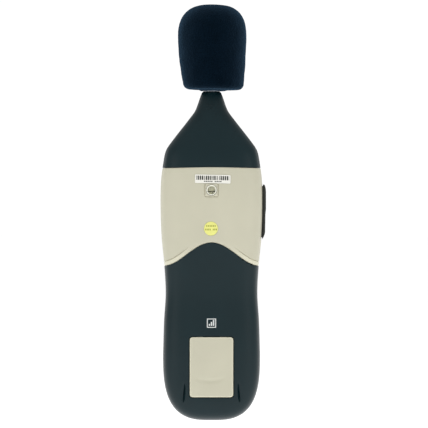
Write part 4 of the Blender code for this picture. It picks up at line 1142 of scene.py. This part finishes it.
def triangle(u, v, size, angle):
    corners = ((size, 0.0), (-0.6 * size, 0.85 * size), (-0.6 * size, -0.85 * size))
    return turned(corners, u, v, angle)


def circle_bars(radius, count, width, first, last):
    """Short bars round a circle, from one angle to another."""
    step = (last - first) / count
    length = 2 * math.pi * radius * step / 360 * 0.98
    for k in range(count):
        angle = first + step * (k + 0.5)
        yield bar(*corner_point((0, 0), radius, math.radians(angle)), length, width, angle + 90)


def sun_rays(radius, length, width):
    for angle in range(0, 360, 45):
        yield bar(*corner_point((0, 0), radius, math.radians(angle)), length, width, angle)


ICONS = {
    "key_up": [triangle(0, 0, 1.7, 90)],
    "key_down": [triangle(0, 0, 1.7, -90)],
    "key_power": [*circle_bars(2.3, 14, 0.5, 120, 420), bar(0, 1.9, 2.6, 0.5, 90)],
    "key_hold": [bar(-0.8, 0, 2.6, 0.8, 90), bar(0.8, 0, 2.6, 0.8, 90)],
    "key_range": [triangle(-2.2, 0, 1.1, 180), triangle(2.2, 0, 1.1, 0), bar(0, 0, 2.4, 0.5)],
    "key_max_min": [triangle(0, 1.2, 1.0, 90), triangle(0, -1.2, 1.0, -90), bar(0, 0, 3.2, 0.4)],
    "key_response": [bar(-2.0, -1.0, 1.8, 0.45), bar(-1.1, 0, 2.4, 0.45, 90), bar(0, 1.0, 2.2, 0.45),
                     bar(1.1, 0, 2.4, 0.45, 90), bar(2.0, -1.0, 1.8, 0.45)],
    "key_weighting": [bar(-1.7, -0.9, 2.0, 0.45, 35), bar(0, -0.1, 1.9, 0.45, 15),
                      bar(1.7, 0.0, 1.9, 0.45, -15)],
    "key_backlight": [*circle_bars(0.7, 8, 0.5, 0, 360), *sun_rays(2.0, 1.1, 0.4)],
}


def keys():
    back = box_of("key_up")[1][1]
    for name, (x, z, half_x, half_z) in key_places().items():
        top = surface_y(FRONT, x, z) - KEY_PROUD

        def cap_y(u, v):
            share = min(math.hypot((u - x) / half_x, (v - z) / half_z), 1.0)
            return top + KEY_DOME * share**2

        outline = ellipse_outline(x, z, half_x, half_z)
        path = [(-KEY_FLANGE, back), (-KEY_FLANGE, back - 0.8), (0.0, back - 0.8), (0.0, top + 1.1),
                (0.12, top + 0.75)]
        rings = [[(u, level, v) for u, v in outline(inset)] for inset, level in path]
        smallest = min(half_x, half_z)
        for inset in [0.4, 0.8] + [1.2 + 0.8 * k for k in range(int((smallest - 1.6) / 0.8) + 1)]:
            rings.append([(u, cap_y(u, v), v) for u, v in outline(inset)])
        bm = bmesh.new()
        skin_rings(bm, rings)
        rubber_faces = len(bm.faces)
        for shape in ICONS[name]:
            points = [(x + u, cap_y(x + u, z + v), z + v) for u, v in shape]
            skin_rings(bm, [[(u, y + lift, v) for u, y, v in points] for lift in (0.1, -0.07)])
        bm.faces.ensure_lookup_table()
        for face in bm.faces[rubber_faces:]:
            face.material_index = 1
        key = new_object(name.replace("key_", "cap_"), bm)
        finish_piece(key, name, (MATERIALS["key"], MATERIALS["ink"]), [name])


# ---------------------------------------------------------------- frame nodes that stay
def striped(name, first, second, size, metallic=0.0):
    """A printed wrap with a broad plain band."""
    made, tree, shader = start_material(name, 0.35, Metallic=metallic)
    where = place_of(tree)
    height = node(tree, "ShaderNodeSeparateXYZ", {0: where}).outputs["Z"]
    along_wrap = math_node(tree, "MODULO", math_node(tree, "ABSOLUTE", height), size * MM)
    band = math_node(tree, "GREATER_THAN", along_wrap, 0.55 * size * MM)
    scuff = noise_of(tree, 3.0, where)
    tone = blend_colours(tree, band, shade(first), shade(second))
    worn = blend_colours(tree, between(tree, scuff, 0.0, 0.1), tone, shade((150, 150, 150)))
    surface(tree, shader, worn, between(tree, scuff, 0.28, 0.5), scuff, 0.02)
    return made


NODE_FINISHES = {
    "black": "battery_snap board_header processor_chip dc_jack output_jack port_plate lcd_frame",
    "red": "battery_lead_red",
    "wire": "battery_lead_black mic_lead",
    "board": "main_board port_board preamp_board",
    "steel": "shield_can usb_socket",
    "brass": "cal_screw",
    "white": "cal_trimmer lcd_backlight",
    "key": "lcd_strip_lower lcd_strip_upper keypad_membrane",
}


def dress_nodes():
    """Gives every node of the frame that stays its own finish."""
    lcd = moulded("lcd_glass", (156, 168, 146), 0.2, grain=0.25, depth=0.002, mottle=0.04)
    wrap = striped("battery_wrap", (34, 36, 40), (198, 160, 70), 46.0, 0.6)
    finishes = {"battery_9v": wrap, "lcd_glass": lcd}
    for finish, names in NODE_FINISHES.items():
        finishes.update({name: MATERIALS[finish] for name in names.split()})
    for name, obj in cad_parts.items():
        if obj.hide_render:
            continue
        material = finishes.get(name) or MATERIALS["steel"]
        for index in range(len(obj.material_slots)):
            obj.material_slots[index].material = material


# ---------------------------------------------------------------- stage, lights and camera
VIEW_WIDTH, VIEW_X, VIEW_Z = 310.3, -1.8, -17.2
CAMERA_AWAY, SENSOR = 2500.0, 36.0
FLOOR_BELOW, FLOOR_HALF, FLOOR_GLOW = 45.0, 30000.0, 0.55
WORLD_LIGHT, WORLD_SEEN = 0.5, 1.05  # the world's strength as light, and as the camera sees it


def stage():
    bm = bmesh.new()
    level = CAD_BOX[0].z / MM - FLOOR_BELOW
    corners = ((-1, -1), (1, -1), (1, 1), (-1, 1))
    bm.faces.new([bm.verts.new((x * FLOOR_HALF, y * FLOOR_HALF, level)) for x, y in corners])
    floor = new_object("floor", bm)
    floor.data.flip_normals()
    paint = moulded("floor_paint", (250, 250, 250), 0.9, grain=4.0, depth=0.0, mottle=0.005)
    shader = paint.node_tree.nodes["Principled BSDF"]
    shader.inputs["Emission Color"].default_value = (1, 1, 1, 1)
    shader.inputs["Emission Strength"].default_value = FLOOR_GLOW
    floor.data.materials.append(paint)


def area_light(name, place, target, size, power, colour=(1.0, 1.0, 1.0)):
    """A soft rectangular light at a place, aimed at a target, both in metres."""
    data = bpy.data.lights.new(name, "AREA")
    data.shape = "RECTANGLE"
    data.size, data.size_y = size
    data.energy = power
    data.color = colour
    obj = bpy.data.objects.new(name, data)
    obj.location = place
    obj.rotation_euler = (Vector(target) - Vector(place)).to_track_quat("-Z", "Y").to_euler()
    bpy.context.scene.collection.objects.link(obj)
    return obj


def lights():
    world = bpy.data.worlds.new("studio")
    world.use_nodes = True
    tree = world.node_tree
    background = tree.nodes["Background"]
    background.inputs["Color"].default_value = (1.0, 1.0, 1.0, 1.0)
    seen = node(tree, "ShaderNodeLightPath").outputs["Is Camera Ray"]
    tree.links.new(between(tree, seen, WORLD_LIGHT, WORLD_SEEN, 0.0, 1.0), background.inputs["Strength"])
    bpy.context.scene.world = world
    middle = (0.0, 0.0, -0.02)
    for side in (REAR, FRONT):
        area_light("key", (0.35 * side, 2.3 * side, -0.9), middle, (1.0, 1.1), 5.6, (0.9, 0.97, 1.0))
        area_light("over", (0.0, 1.1 * side, 1.9), (0.0, 0.0, 0.1), (1.0, 1.0), 3.5)
        for across in (-1, 1):
            area_light("softbox", (1.8 * across, 1.5 * side, 0.0), middle, (0.9, 1.8), 3.4)
    area_light("top", (0.0, 0.0, 2.2), middle, (1.8, 1.8), 13.0)


def camera():
    data = bpy.data.cameras.new("camera")
    data.sensor_width = SENSOR
    data.lens = SENSOR * CAMERA_AWAY / VIEW_WIDTH
    data.clip_end = 100.0
    obj = bpy.data.objects.new("camera", data)
    place = Vector((VIEW_X, PART_Y + CAMERA_AWAY, VIEW_Z)) * MM
    obj.location = place
    obj.rotation_euler = Vector((0, -1, 0)).to_track_quat("-Z", "Y").to_euler()
    bpy.context.scene.collection.objects.link(obj)
    bpy.context.scene.camera = obj
    bpy.context.scene.view_settings.view_transform = "Standard"


# ---------------------------------------------------------------- everything
camera()
lights()
stage()
make_materials()
rear_shell()
front_shell()
rear_panel()
front_panel()
labels()
level_mark()
battery_door()
door_pad()
windscreen()
microphone()
tripod_bush()
port_cover()
lcd_window()
lcd_figures()
keys()
dress_nodes()
